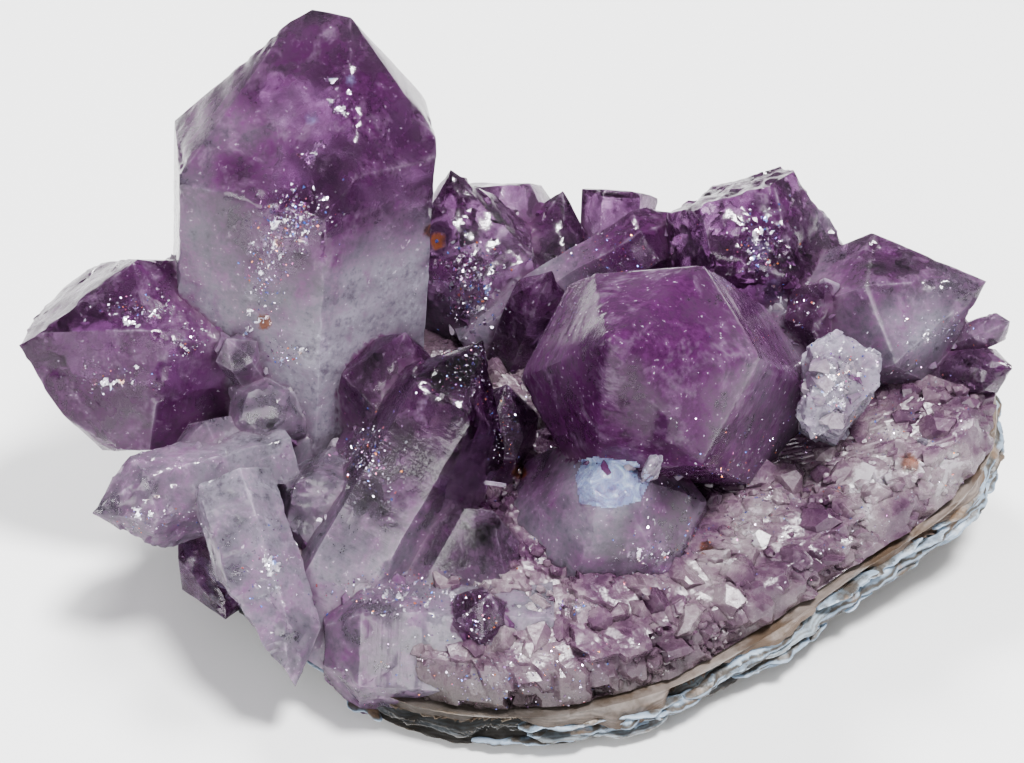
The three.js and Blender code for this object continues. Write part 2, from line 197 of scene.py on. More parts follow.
# Small points and chips too fine for the solids, in the slope frame.
FINE_POINTS = {
    "shard tip": dict(
        tip=(31.6, -6.4, 11.5), axis=(-0.3, -0.94, 0.15), sides=(2.2, 2.8, 2.2, 2, 2.6, 2),
        length=9, roll=12,
        cuts=[((33, -3, 12.2), (0.1, -0.1, 1))], deep=0, cloud=(0.85, 0.9), rough=0.6, fine=0.35,
    ),
    "white chip": dict(
        tip=(14.6, -7.2, 26.5), axis=(0.2, 0.6, 0.7), sides=(0.9, 0.7, 1.3, 0.8, 0.7, 1.2), length=4,
        deep=0.1, cloud=(0.8, 0.9), rough=0.6, fine=0.25,
    ),
    "side chip": dict(
        tip=(-3.0, -10.4, 20), axis=(-1, 0.15, 0.2), sides=0.25, length=2.4, deep=0.3, cloud=(0.6, 0.9),
    ),
    "wall point": dict(
        tip=(38.3, -13.6, 6.5), axis=(0.15, 0.5, 0.8), roll=20, sides=1.2, length=5, deep=0,
        cloud=(0.7, 0.9),
    ),
    "wall point upper": dict(
        tip=(44.5, -6.5, 4.5), axis=(-0.2, 0.3, 0.9), roll=40, sides=1.6, length=5, deep=0.1,
        cloud=(0.6, 0.9),
    ),
    "lip point": dict(
        tip=(-30.3, 4.6, 11), axis=(-0.3, 0.5, 0.8), roll=10, sides=2.2, length=9, deep=0.4,
        cloud=(0.5, 0.8),
    ),
}

# Points on the far side, in a level frame: x along, y away from the viewer, z up.
FAR_POINTS = {
    "far left": dict(tip=(-31, 23, 24), axis=(-0.45, 0.45, 0.77), roll=15, sides=5.5, length=22),
    "far left low": dict(tip=(-21, 35, 18), axis=(-0.2, 0.75, 0.63), roll=40, sides=6, length=22),
    "far middle": dict(tip=(9, 36.5, 17), axis=(0, 0.78, 0.62), roll=5, sides=5, length=18),
    "far right": dict(tip=(30, 28, 23), axis=(0.25, 0.55, 0.8), roll=25, sides=6.5, length=22),
    "far end": dict(tip=(45, 21, 22.5), axis=(0.5, 0.4, 0.77), roll=50, sides=4.8, length=18),
}

# Clouds and colour spots inside the points, seen from the front of the slope frame: x, y, reach,
# and how much purple and milk each adds there.
ZONES = {
    "tall point": [
        (-20, 19, 6, 0.4, -0.2), (-13.3, 11.6, 7, -0.4, 0.2), (-32.6, 18.9, 5, -0.3, 0.2),
        (-28.4, 26.3, 5, -0.25, 0.25), (-17.4, 30.4, 5, 0.3, -0.1), (-11.7, 25.2, 4, 0.3, 0),
        (-24, 12, 4, 0, -0.15), (-20, 2, 5, -0.2, 0.1), (-26.5, 30, 2.5, 0.3, -0.2),
        (-29, 22, 2.5, 0.3, -0.3),
    ],
    "left point": [
        (-41, -6, 5, -0.3, 0.2), (-44.3, 1.2, 5, 0.3, -0.1), (-46, 6, 4, 0.3, 0),
        (-31.9, 5.5, 3, -0.1, 0.2),
        (-48, 8, 4, 0.2, -0.1),
    ],
    "great point": [
        (26, 1.2, 6, -0.5, 0), (24, -6.9, 5, -0.4, 0), (13.9, 9.7, 4, -0.1, 0),
        (8.9, -1.9, 8, 0.2, 0), (10.1, 1.7, 2, 0.4, 0), (5.4, 1.5, 3.5, -0.5, 0),
        (20.2, -8.9, 2, 0.4, 0), (2, -3, 2, -0.2, 0), (0.5, 4, 4, -0.25, 0),
    ],
    "lower point": [
        (9.8, -9.9, 3.6, -0.8, 0.5), (0.8, -18.4, 5, -0.35, 0.2), (1.3, -9.1, 3, 0.3, -0.1),
        (8, -16, 4, -0.2, 0.2),
    ],
    "right point": [(44.6, 5.6, 7, -0.6, 0.4), (42.4, 12.7, 4, 0.35, -0.2)],
    "bright point": [(28.8, 13.6, 5, 0.3, -0.3), (36.1, 18.8, 3, -0.6, 0.5)],
    "long point": [(-9.7, -6.2, 6, -0.1, -0.35), (-4.4, 1.2, 4.5, 0.5, -0.4), (0, -6, 4, 0.5, -0.3)],
    "wall": [
        (39.2, -10.3, 2.6, -1.4, 0), (24, -15.8, 3.5, -0.8, 0), (47, -3, 9, -0.7, 0),
        (1, -24, 4, -0.6, 0),
        (33, -5, 5, 0.8, 0), (38, -2, 4, 0.7, 0), (20, -14, 3, 0.5, 0), (30, -18, 4, 0.5, 0),
        (5, -29, 6, 0.5, 0), (14, -27, 4, 0.6, 0), (-8, -31, 5, 0.5, 0),
    ],
}

# Painted pale blue sheens in the points, seen from the front of the slope frame: x, y, reach, strength.
BLUE_SHEENS = {
    "lower point": [(10.5, -10.2, 3.6, 1), (1, -14, 2.5, 0.3)],
    "tall point": [
        (-16.8, 31.3, 1.1, 0.7), (-20.7, 27.5, 1.4, 0.6), (-17, 21.3, 1, 0.5), (-13, 12, 5, 0.2),
    ],
    "bright point": [(27, 15, 3.2, 0.6), (29.5, 9, 3, 0.6)],
    "left point": [(-41.5, 1, 2, 0.5)],
    "great point": [(15, 1, 4, 0.12)],
    "fang": [(-25, -21, 3, 0.3)],
    "front block": [(-19, -24, 4, 0.2)],
    "long point": [(-8, -3, 5, 0.35)],
}

# Rust and clay stains, seen from the front of the slope frame: x, y, reach.
STAINS = [
    (-26.4, 6.3, 0.9), (-8.5, 16.1, 1.1), (42.8, -8.9, 1.2), (0.8, -9.7, 0.9), (20.5, -17.5, 0.8),
]


def unit(vector):
    vector = np.asarray(vector, float)
    return vector / np.linalg.norm(vector)


def swell(points, size, seed=0):
    """Smooth random heights from -1 to 1, with hills about size across."""
    scaled = points / size + seed * 17.31
    cell = np.floor(scaled).astype(np.int64)
    share = scaled - cell
    ease = share * share * (3 - 2 * share)
    total = np.zeros(len(points))
    for corner in itertools.product((0, 1), repeat=3):
        x, y, z = (cell + corner).T
        mixed = (x * 73856093) ^ (y * 19349663) ^ (z * 83492791)
        mixed = ((mixed ^ (mixed >> 13)) * 1274126177) & 0xFFFFFFFF
        height = ((mixed ^ (mixed >> 15)) & 0xFFFF) / 32767.5 - 1
        total += height * np.prod(np.where(corner, ease, 1 - ease), axis=1)
    return total


def rumple(points, size, seed=0, octaves=3):
    """Hills on hills, each set half as wide and half as high as the last."""
    return sum(swell(points, size / 2 ** n, seed + n) / 2 ** n for n in range(octaves))


def shards(points, size, seed=0):
    """Relief of broken quartz: flat chips about size across, each at its own height and tilt."""
    scaled = points / size + seed * 11.7
    cell = np.floor(scaled).astype(np.int64)
    nearest, height = np.full(len(points), np.inf), np.zeros(len(points))
    for offset in itertools.product((-1, 0, 1), repeat=3):
        at = (cell + offset).astype(float)
        draws = [
            np.abs(np.sin(at @ (12.9898 + n, 78.233 - n, 37.719 + 2 * n)) * 43758.5453) % 1
            for n in range(7)
        ]
        away = scaled - at - np.stack(draws[:3], 1)
        distance = (away ** 2).sum(axis=1)
        closer = distance < nearest
        tilted = draws[6] - 0.5 + 2 * (away * (np.stack(draws[3:6], 1) - 0.5)).sum(axis=1)
        nearest[closer], height[closer] = distance[closer], tilted[closer]
    return height


def in_slope(points):
    """World places in the slope frame."""
    return (points - SLOPE_ORIGIN) @ SLOPE_AXES.T


class Crystal:
    """One quartz point: its planes, and its own axes for growth lines and colour."""

    def __init__(self, tip, axis, sides, length, roll=0, set=0, cuts=(), level=False,
                 deep=0.8, fade=(5, 20), cloud=(0.35, 0.7), rough=0.0, wear=1.0, soft=0.05, fine=FINE,
                 zones=(), painted_sheens=()):
        top, lengthwise = np.array(tip, float), unit(axis)
        rightward = unit(np.array([1.0, 0, 0]) - lengthwise * lengthwise[0])
        viewerward = np.cross(rightward, lengthwise)
        sides, sets = (np.broadcast_to(value, SIDES) for value in (sides, set))
        planes = [(BASE, -lengthwise, -lengthwise @ (top - lengthwise * length))]
        for side in range(SIDES):
            angle = math.radians(roll) + side * math.tau / SIDES
            outward = rightward * math.cos(angle) + viewerward * math.sin(angle)
            sloping = lengthwise * math.cos(TIP_FACE_ANGLE) + outward * math.sin(TIP_FACE_ANGLE)
            planes.append((SIDE, outward, outward @ top + sides[side]))
            planes.append((TIP, sloping, sloping @ top - sets[side]))
        for at, facing in cuts:
            planes.append((BROKEN, unit(facing), unit(facing) @ np.array(at)))
        self.kinds = np.array([kind for kind, _, _ in planes])
        normals = np.array([normal for _, normal, _ in planes])
        offsets = np.array([offset for _, _, offset in planes])
        axes, origin = (np.eye(3), np.zeros(3)) if level else (SLOPE_AXES, SLOPE_ORIGIN)
        self.normals = normals @ axes
        self.offsets = offsets + self.normals @ origin
        self.tip = top @ axes + origin
        self.lengthwise = lengthwise @ axes
        self.length = length
        self.reach = float(np.mean(sides))
        self.deep, self.fade, self.cloud, self.zones, self.painted_sheens = deep, fade, cloud, zones, painted_sheens
        self.rough, self.wear, self.soft, self.fine = rough, wear, soft, fine

    def outside(self, points):
        """How far each point is outside the crystal; below 0 inside."""
        return (points @ self.normals.T - self.offsets).max(axis=1)

    def below_tip(self, points):
        return (self.tip - points) @ self.lengthwise


def corners_inside(normals, offsets):
    """Corners of the convex solid inside all the planes."""
    triples = np.array(list(itertools.combinations(range(len(offsets)), 3)))
    matrices = normals[triples]
    sound = np.abs(np.linalg.det(matrices)) > 1e-6
    corners = np.linalg.solve(matrices[sound], offsets[triples[sound]][..., None])[..., 0]
    corners = corners[(corners @ normals.T <= offsets + 1e-5).all(axis=1)]
    kept = []
    for corner in corners:
        if all(np.linalg.norm(corner - other) > 1e-3 for other in kept):
            kept.append(corner)
    return np.array(kept)


def coarse_solid(normals, offsets):
    """Points and triangles of the solid. Each face is a fan around its middle."""
    corners = corners_inside(normals, offsets)
    points, triangles = [*corners], []
    for normal, offset in zip(normals, offsets):
        on_face = np.flatnonzero(np.abs(corners @ normal - offset) < 2e-3)
        if len(on_face) < 3:
            continue
        middle = corners[on_face].mean(axis=0)
        across = unit(corners[on_face[0]] - middle)
        upward = np.cross(normal, across)
        spokes = corners[on_face] - middle
        ring = on_face[np.argsort(np.arctan2(spokes @ upward, spokes @ across))]
        points.append(middle)
        triangles += [(len(points) - 1, a, b) for a, b in zip(ring, np.roll(ring, -1))]
    return np.array(points), np.array(triangles)


def refined(points, triangles, limit):
    """Splits edges longer than limit, the longest first, until none is left."""
    longest = np.linalg.norm(points[triangles] - points[np.roll(triangles, -1, 1)], axis=2).max()
    while longest > limit:
        starts, ends = triangles.ravel(), np.roll(triangles, -1, 1).ravel()
        pairs = np.sort(np.stack([starts, ends], 1), 1)
        edges, which = np.unique(pairs, axis=0, return_inverse=True)
        lengths = np.linalg.norm(points[edges[:, 0]] - points[edges[:, 1]], axis=1)
        split = lengths > max(limit, longest * 0.6)
        number = np.where(split, len(points) + np.cumsum(split) - 1, -1)
        points = np.concatenate([points, points[edges[split]].mean(axis=1)])
        middles = number[which.ravel()].reshape(-1, 3)
        cut = middles >= 0
        counts = cut.sum(axis=1)
        turn = np.where(counts == 1, cut.argmax(1), (cut.argmin(1) + 2) % 3)
        order = (turn[:, None] + np.arange(3)) % 3
        corner, middle = np.take_along_axis(triangles, order, 1), np.take_along_axis(middles, order, 1)
        (a, b, c), (ab, bc, ca) = corner.T, middle.T
        one, two, three = (counts == n for n in (1, 2, 3))
        pieces = [triangles[counts == 0]]
        pieces += [np.stack([a, ab, c], 1)[one], np.stack([ab, b, c], 1)[one]]
        pieces += [np.stack(t, 1)[three] for t in ((a, ab, ca), (ab, b, bc), (ca, bc, c), (ab, bc, ca))]
        # With two split edges, ab and ca here, the pair of new corners cuts off a.
        pieces += [np.stack(t, 1)[two] for t in ((a, ab, ca), (ab, b, c), (ab, c, ca))]
        triangles = np.concatenate(pieces)
        longest = np.linalg.norm(points[triangles] - points[np.roll(triangles, -1, 1)], axis=2).max()
    return points, triangles


def ledges(along, across, size, seed):
    """Terraces that run across a face, like the growth lines on the side of a quartz point."""
    place = np.stack([along / size, across / (size * 6), np.full(len(along), seed * 3.7)], 1)
    return np.tanh(3 * rumple(place, 1.0, seed, octaves=2))


def relief(crystal, plane, points, gap, seed):
    """Height of a face above its flat plane. gap is how far the nearest edge is."""
    kind, normal = crystal.kinds[plane], crystal.normals[plane]
    along = crystal.below_tip(points)
    across = points @ np.cross(crystal.lengthwise, normal)
    if kind == SIDE:
        height = 0.07 * ledges(along, across, 2.6, seed + plane) + 0.12 * swell(points, 7, seed)
    elif kind == TIP:
        height = 0.12 * rumple(points, 8, seed) + 0.03 * ledges(along, across, 1.8, seed + plane)
    else:
        from_strike = np.linalg.norm(points - crystal.tip + 3 * normal, axis=1)
        ripple = np.sin(from_strike * 2.6 + 1.6 * swell(points, 5, seed))
        height = 0.45 * rumple(points, 6, seed) + 0.14 * ripple * (0.6 + 0.4 * swell(points, 4, seed + 5))
    if crystal.rough:
        chipped = 0.8 * shards(points, 2.4, seed) + 0.25 * shards(points, 1.1, seed + 3)
        height = height + crystal.rough * chipped
    chips = np.clip(rumple(points, 2.4, seed + 9) - 0.35, 0, 1)
    worn_edge = np.exp(-gap / 0.4) * (0.05 + 0.8 * chips * crystal.wear)
    return height - worn_edge - crystal.soft * np.exp(-gap / 1.3)


def carved(crystal, points, seed):
    """The points of a crystal moved to their relief. On an edge they keep to both faces."""
    gaps = crystal.offsets - points @ crystal.normals.T
    on_plane = gaps < 1e-3
    heights = np.zeros_like(gaps)
    for plane in np.flatnonzero(on_plane.any(axis=0) & (crystal.kinds != BASE)):
        here = on_plane[:, plane]
        others = np.arange(len(crystal.kinds)) != plane
        nearest = gaps[here][:, others].min(axis=1)
        heights[here, plane] = relief(crystal, plane, points[here], nearest, seed)
    moved = points.copy()
    sets, which = np.unique(on_plane, axis=0, return_inverse=True)
    for number, faces in enumerate(sets):
        if faces.any():
            members = which.ravel() == number
            back_to_space = np.linalg.pinv(crystal.normals[faces], rcond=0.3).T
            moved[members] += heights[members][:, faces] @ back_to_space
    return moved


def solid(name, points, triangles):
    """A closed mesh object, made from millimetres."""
    mesh = bpy.data.meshes.new(name)
    mesh.from_pydata((points * MM).tolist(), [], triangles.tolist())
    mesh.update()
    made = bpy.data.objects.new(name, mesh)
    bpy.context.scene.collection.objects.link(made)
    return made


def combined(first, second, operation="UNION"):
    """The first solid with the second joined on or cut away. The second is used up."""
    change = first.modifiers.new("change", "BOOLEAN")
    change.operation, change.solver, change.object = operation, "MANIFOLD", second
    bpy.context.view_layer.update()
    evaluated = first.evaluated_get(bpy.context.evaluated_depsgraph_get())
    mesh = bpy.data.meshes.new_from_object(evaluated)
    first.modifiers.clear()
    old, first.data = first.data, mesh
    bpy.data.meshes.remove(old)
    bpy.data.objects.remove(second)
    return first


def joined(solids):
    """All the solids grown into one, in pairs, then pairs of pairs."""
    while len(solids) > 1:
        pairs = [solids[n:n + 2] for n in range(0, len(solids), 2)]
        solids = [combined(*pair) if len(pair) == 2 else pair[0] for pair in pairs]
    return solids[0]


def vertices_of(piece):
    points = np.empty(len(piece.data.vertices) * 3)
    piece.data.vertices.foreach_get("co", points)
    return points.reshape(-1, 3) / MM


def normals_of(piece):
    normals = np.empty(len(piece.data.vertices) * 3)
    piece.data.vertices.foreach_get("normal", normals)
    return normals.reshape(-1, 3)


def mark(piece, name, values):
    """Keeps a number for each point of the mesh, which a finish can read."""
    kept = piece.data.attributes.new(name, "FLOAT", "POINT")
    kept.data.foreach_set("value", np.asarray(values, np.float32))


CRYSTALS = [
    Crystal(**values, zones=ZONES.get(name, ()), painted_sheens=BLUE_SHEENS.get(name, ()))
    for name, values in (GREAT_POINTS | LESSER_POINTS | FINE_POINTS).items()
]

CRYSTALS += [Crystal(level=True, **values) for values in FAR_POINTS.values()]

# Rim of the rind seen from above, as in the part's source: x, y, and how high the rind's
# lower edge curls up there.
RIM = np.array([
    (0, -38.5, 0.5), (15.5, -35, 1), (27, -27.5, 2), (38.5, -18.5, 4), (50, -10, 7), (54.5, -1, 10),
    (53.5, 10, 12), (44, 20, 11), (29, 29, 9), (9, 33, 7), (-10, 34, 6), (-28, 28, 7), (-38, 13, 7),
    (-40, -3, 6), (-33, -15, 4), (-21, -28, 2), (-12.5, -35.5, 0.5),
])

MIDDLE = np.array([3, -1])
RIND_THICKNESS = 4.5
HOLLOW_CURVE = 2.5
WALL_THICKNESS = 5
WALL_CROWN = 15
GAP = 0.4


def rim_at(round_share):
    """Points of the rim, a smooth closed curve through RIM, at shares of the way round."""
    place = np.asarray(round_share) * len(RIM) % len(RIM)
    first = np.floor(place).astype(int)
    share = (place - first)[:, None]
    before, start, end, after = (RIM[(first + n) % len(RIM)] for n in (-1, 0, 1, 2))
    steps = [
        np.sqrt(np.linalg.norm(b - a, axis=1))[:, None]
        for a, b in ((before, start), (start, end), (end, after))
    ]
    leave = ((start - before) / steps[0] - (end - before) / (steps[0] + steps[1])) * steps[1] + end - start
    reach = ((after - end) / steps[2] - (after - start) / (steps[1] + steps[2])) * steps[1] + end - start
    square, cube = share ** 2, share ** 3
    return (start + leave * share + (3 * (end - start) - 2 * leave - reach) * square
            + (2 * (start - end) + leave + reach) * cube)


def place_at(out, round_share, height):
    """A place a share of the way out to the rim. height takes the rim's curl."""
    rim = rim_at(round_share)
    flat = MIDDLE + (rim[:, :2] - MIDDLE) * np.asarray(out)[..., None]
    return np.column_stack([flat, height(rim[:, 2])])


def wall_height(rise, curl):
    shoulder = curl + RIND_THICKNESS + WALL_THICKNESS
    return shoulder + (WALL_CROWN - shoulder) * rise


# Share of the way up from the wall's shoulder to its crown, by share of the way out.
WALL_OUT = (0, 0.35, 0.55, 0.7, 0.8, 0.87, 0.92)

WALL_RISE = (1, 0.95, 0.75, 0.5, 0.3, 0.15, 0)


def on_wall(out, round_share):
    return place_at(out, round_share, lambda curl: wall_height(np.interp(out, WALL_OUT, WALL_RISE), curl))


def dish(rings, steps):
    """Points and triangles of a closed solid from rings of (out, height), top to bottom."""
    around = np.arange(steps) / steps
    points = [place_at(np.full(1, rings[0][0]), np.zeros(1), rings[0][1])]
    points += [place_at(np.full(steps, out), around, height) for out, height in rings[1:-1]]
    points.append(place_at(np.full(1, rings[-1][0]), np.zeros(1), rings[-1][1]))
    triangles = []
    first = 1
    step = np.arange(steps)
    after = (step + 1) % steps
    triangles.append(np.stack([np.zeros(steps, int), 1 + step, 1 + after], 1))
    for _ in rings[2:-1]:
        a, b = first + step, first + after
        c, d = a + steps, b + steps
        triangles += [np.stack([a, c, d], 1), np.stack([a, d, b], 1)]
        first += steps
    triangles.append(np.stack([np.full(steps, first + steps), first + after, first + step], 1))
    return np.concatenate(points), np.concatenate(triangles)


def hollow_floor(out, lift):
    return lambda curl: RIND_THICKNESS + lift + curl * out ** HOLLOW_CURVE


# Below its rough surface the wall is one mass of quartz with the points, down to the rind.
CORE_INSET = 2.5


def under_wall(out, rise):
    return out, lambda curl: wall_height(rise, curl) - CORE_INSET


def smoothstep(low, high, value):
    share = np.clip((value - low) / (high - low), 0, 1)
    return share * share * (3 - 2 * share)


def zoned(points, zones, column):
    """What the zones add at each place. column is 3 for purple and 4 for milk."""
    across = in_slope(points)[:, :2]
    return sum(
        zone[column] * np.exp(-((across - zone[:2]) ** 2).sum(axis=1) / zone[2] ** 2) for zone in zones
    ) + np.zeros(len(points))


def stained(points):
    across = in_slope(points)[:, :2]
    return sum(np.exp(-((across - stain[:2]) ** 2).sum(axis=1) / stain[2] ** 2) for stain in STAINS)


def growth_marks(crystal, points):
    """What the finish reads on one crystal: purple, milk, place along it, growth lines, edges."""
    below = crystal.below_tip(points)
    faded = smoothstep(*crystal.fade, below)
    planes = points @ crystal.normals.T - crystal.offsets
    to_edge = np.sort(np.abs(planes), axis=1)[:, 1]
    return {
        "deep": crystal.deep * (1 - 0.75 * faded) + zoned(points, crystal.zones, 3),
        "cloud": crystal.cloud[0] + (crystal.cloud[1] - crystal.cloud[0]) * faded
                 + zoned(points, crystal.zones, 4),
        # Where the painted blue sheen lies.
        "blue": zoned(points, crystal.painted_sheens, 3),
        "along": below * MM,
        "lines": crystal.kinds[planes.argmax(axis=1)] == SIDE,
        "edge": crystal.wear * np.clip(1 - to_edge / 0.45, 0, 1),
    }


def mark_growth(piece):
    points = vertices_of(piece)
    away = np.abs([crystal.outside(points) for crystal in CRYSTALS])
    nearest = away.argmin(axis=0)
    marks = {name: np.zeros(len(points)) for name in ("deep", "cloud", "blue", "along", "lines", "edge")}
    for number, crystal in enumerate(CRYSTALS):
        mine = nearest == number
        if mine.any():
            for name, values in growth_marks(crystal, points[mine]).items():
                marks[name][mine] = values
    marks["seam"] = np.exp(-np.partition(away, 1, axis=0)[1] / 0.7)
    marks["stain"] = stained(points)
    for name, values in marks.items():
        mark(piece, name, values)
    return marks


class Value:
    """A value, colour or vector in a finish. Sums and products of values add Math nodes."""

    def __init__(self, finish, socket):
        self.finish, self.socket = finish, socket

    def math(self, operation, *others, clamp=False):
        settings = {"operation": operation, "use_clamp": clamp}
        return self.finish.node("ShaderNodeMath", settings, dict(enumerate((self, *others))))

    def __add__(self, other):
        return self.math("ADD", other)

    def __sub__(self, other):
        return self.math("SUBTRACT", other)

    def __rsub__(self, other):
        return (self * -1).math("ADD", other)

    def __mul__(self, other):
        return self.math("MULTIPLY", other)

    def __pow__(self, other):
        return self.math("POWER", other)

    __radd__, __rmul__ = __add__, __mul__

    def spread(self, low, high):
        """The value stretched so that low becomes 0 and high 1."""
        sockets = {"Value": self, "From Min": low, "From Max": high}
        return self.finish.node("ShaderNodeMapRange", {}, sockets)

    def held(self):
        """The value kept between 0 and 1."""
        return self.math("ADD", 0.0, clamp=True)


class Finish:
    """A material in the making. node() adds a node: its settings, then its sockets."""

    def __init__(self, name):
        self.material = bpy.data.materials.new(name)
        self.material.use_nodes = True
        self.tree = self.material.node_tree
        self.tree.nodes.clear()

    def node(self, kind, settings={}, sockets={}, output=0):
        made = self.tree.nodes.new(kind)
        for name, value in settings.items():
            if name == "stops":
                ramp = made.color_ramp
                for position, _ in value[1:-1]:
                    ramp.elements.new(position)
                for element, (position, colour) in zip(ramp.elements, value):
                    element.position, element.color = position, (*colour, 1)
            else:
                setattr(made, name, value)
        for name, value in sockets.items():
            if isinstance(value, Value):
                self.tree.links.new(value.socket, made.inputs[name])
            else:
                made.inputs[name].default_value = value
        return Value(self, made.outputs[output])

    def place(self):
        return self.node("ShaderNodeTexCoord", output="Object")

    def marked(self, name):
        return self.node("ShaderNodeAttribute", {"attribute_name": name}, output="Fac")

    def noise(self, size, detail=3, rough=0.5, twist=0.0):
        """Soft random spots about size across, in metres. twist bends them."""
        return self.node("ShaderNodeTexNoise", {}, {
            "Vector": self.place(), "Scale": 1 / size, "Detail": detail, "Roughness": rough,
            "Distortion": twist})

    def blend(self, factor, first, second, how="MIX"):
        settings = {"data_type": "RGBA", "blend_type": how}
        return self.node("ShaderNodeMix", settings, {0: factor, 6: first, 7: second}, output=2)

    def ramp(self, factor, *stops):
        return self.node("ShaderNodeValToRGB", {"stops": stops}, {"Fac": factor})

    def bump(self, height, strength, distance):
        sockets = {"Height": height, "Strength": strength, "Distance": distance}
        return self.node("ShaderNodeBump", {}, sockets)

    def principled(self, settings={}, **sockets):
        """A Principled shader. Sockets are named with _ for each space."""
        named = {name.replace("_", " "): value for name, value in sockets.items()}
        return self.node("ShaderNodeBsdfPrincipled", settings, named)

    def shaded(self, surface, volume=None):
        output = self.tree.nodes.new("ShaderNodeOutputMaterial")
        self.tree.links.new(surface.socket, output.inputs["Surface"])
        if volume:
            self.tree.links.new(volume.socket, output.inputs["Volume"])
        return self.material


def colour(red, green, blue):
    return (red, green, blue, 1)


QUARTZ_IOR = 1.54


def amethyst_finish(name, scatter, pale, clear_too=True):
    """Clear and milky amethyst. scatter is how far light spreads in the milk, in metres."""
    finish = Finish(name)
    marks = ("deep", "cloud", "blue", "edge", "seam", "stain")
    deep, cloud, blue, edge, seam, stain = map(finish.marked, marks)
    zones = finish.noise(0.008, detail=2, twist=0.6)
    clouds = finish.noise(0.0032, detail=5, rough=0.68, twist=0.4)
    veil = finish.noise(0.007, detail=4, rough=0.68, twist=0.3)
    fine = finish.noise(0.0013, detail=4, rough=0.7)
    grain = finish.noise(0.0005, detail=2)
    wisps = (1 - (veil - 0.5).math("ABSOLUTE") * 14).held() * clouds.spread(0.45, 0.7)
    # Tiny pale specks painted into the colour as glints.
    painted_glints = grain.spread(0.66, 0.74) * fine.spread(0.45, 0.6)
    # Pale along the facet edges: partly chipped wear, partly a painted highlight on the edges.
    worn_and_edge_highlight = edge ** 4 * clouds.spread(0.4, 0.7)

    mottle = (clouds - 0.5) * 1.3 + (fine - 0.5) * 1.1 + (grain - 0.5) * 0.5
    purple = (deep * (0.45 + zones * 0.9) + mottle).held()
    tint = finish.ramp(
        purple, (0, pale), (0.25, (0.19, 0.15, 0.205)), (0.5, (0.148, 0.088, 0.152)),
        (0.75, (0.112, 0.045, 0.112)), (1, (0.07, 0.018, 0.07)))
    speckle = finish.ramp(fine * 0.6 + grain * 0.4, (0.36, (0.5, 0.45, 0.5)), (0.6, (1, 1, 1)))
    tint = finish.blend(1.0, tint, speckle, "MULTIPLY")
    tint = finish.blend(wisps * 0.25, tint, colour(0.32, 0.28, 0.34))
    # Painted pale blue sheen: the tint goes blue where the points shine blue.
    painted_blue_sheen = (blue + (clouds - 0.5) * 0.8).spread(0.45, 0.75).held() * ((fine - 0.5) * 3 + 0.55).held()
    tint = finish.blend(painted_blue_sheen.held(), tint, colour(0.14, 0.15, 0.27))
    # Pale on the edges, partly wear and partly painted edge highlight, and at the painted glint specks.
    tint = finish.blend((worn_and_edge_highlight * 0.5 + painted_glints * 0.6).held(), tint, colour(0.62, 0.58, 0.66))
    # Painted shade: darker along the creases where the points grow into each other.
    tint = finish.blend(seam * 0.5, tint, colour(0.06, 0.035, 0.05))
    rust = (stain + (fine - 0.5) * 0.8).spread(0.35, 0.6).held() * 0.85
    rust_tint = finish.ramp(clouds, (0.42, (0.03, 0.014, 0.011)), (0.65, (0.19, 0.06, 0.018)))
    tint = finish.blend(rust, tint, rust_tint)

    growing = {"W": finish.marked("along"), "Scale": 2500, "Detail": 4}
    growth = finish.node("ShaderNodeTexNoise", {"noise_dimensions": "1D"}, growing)
    height = growth * finish.marked("lines") * 0.35 + grain * 0.15 + fine * 0.4 + clouds * 0.5
    normal = finish.bump(height, 0.4, 0.00014)
    milky = finish.principled(
        {"subsurface_method": "BURLEY"}, Specular_IOR_Level=0.25, Base_Color=tint,
        Roughness=0.03 + grain * 0.24, Normal=normal, IOR=QUARTZ_IOR, Subsurface_Weight=1.0,
        Subsurface_Radius=(1.0, 0.8, 1.0), Subsurface_Scale=scatter)
    if not clear_too:
        return finish.shaded(milky)
    clear_tint = finish.ramp(
        purple, (0, (0.88, 0.86, 0.9)), (0.3, (0.72, 0.58, 0.73)), (0.6, (0.53, 0.32, 0.54)),
        (1, (0.33, 0.15, 0.34)))
    clear = finish.principled(
        Base_Color=clear_tint, Roughness=0.05 + grain * 0.2, Normal=normal, IOR=QUARTZ_IOR,
        Transmission_Weight=1.0)
    milk = (cloud + (zones - 0.5) * 1.3 + (clouds - 0.5) * 1.35 + (fine - 0.5) * 0.6
            + wisps * 0.3 + worn_and_edge_highlight * 0.3 + seam * 0.5 + rust + blue * 0.4).held()
    surface = finish.node("ShaderNodeMixShader", {}, {0: milk, 1: clear, 2: milky})
    absorbing = {"Color": colour(0.62, 0.4, 0.65), "Density": 60.0}
    return finish.shaded(surface, finish.node("ShaderNodeVolumeAbsorption", {}, absorbing))


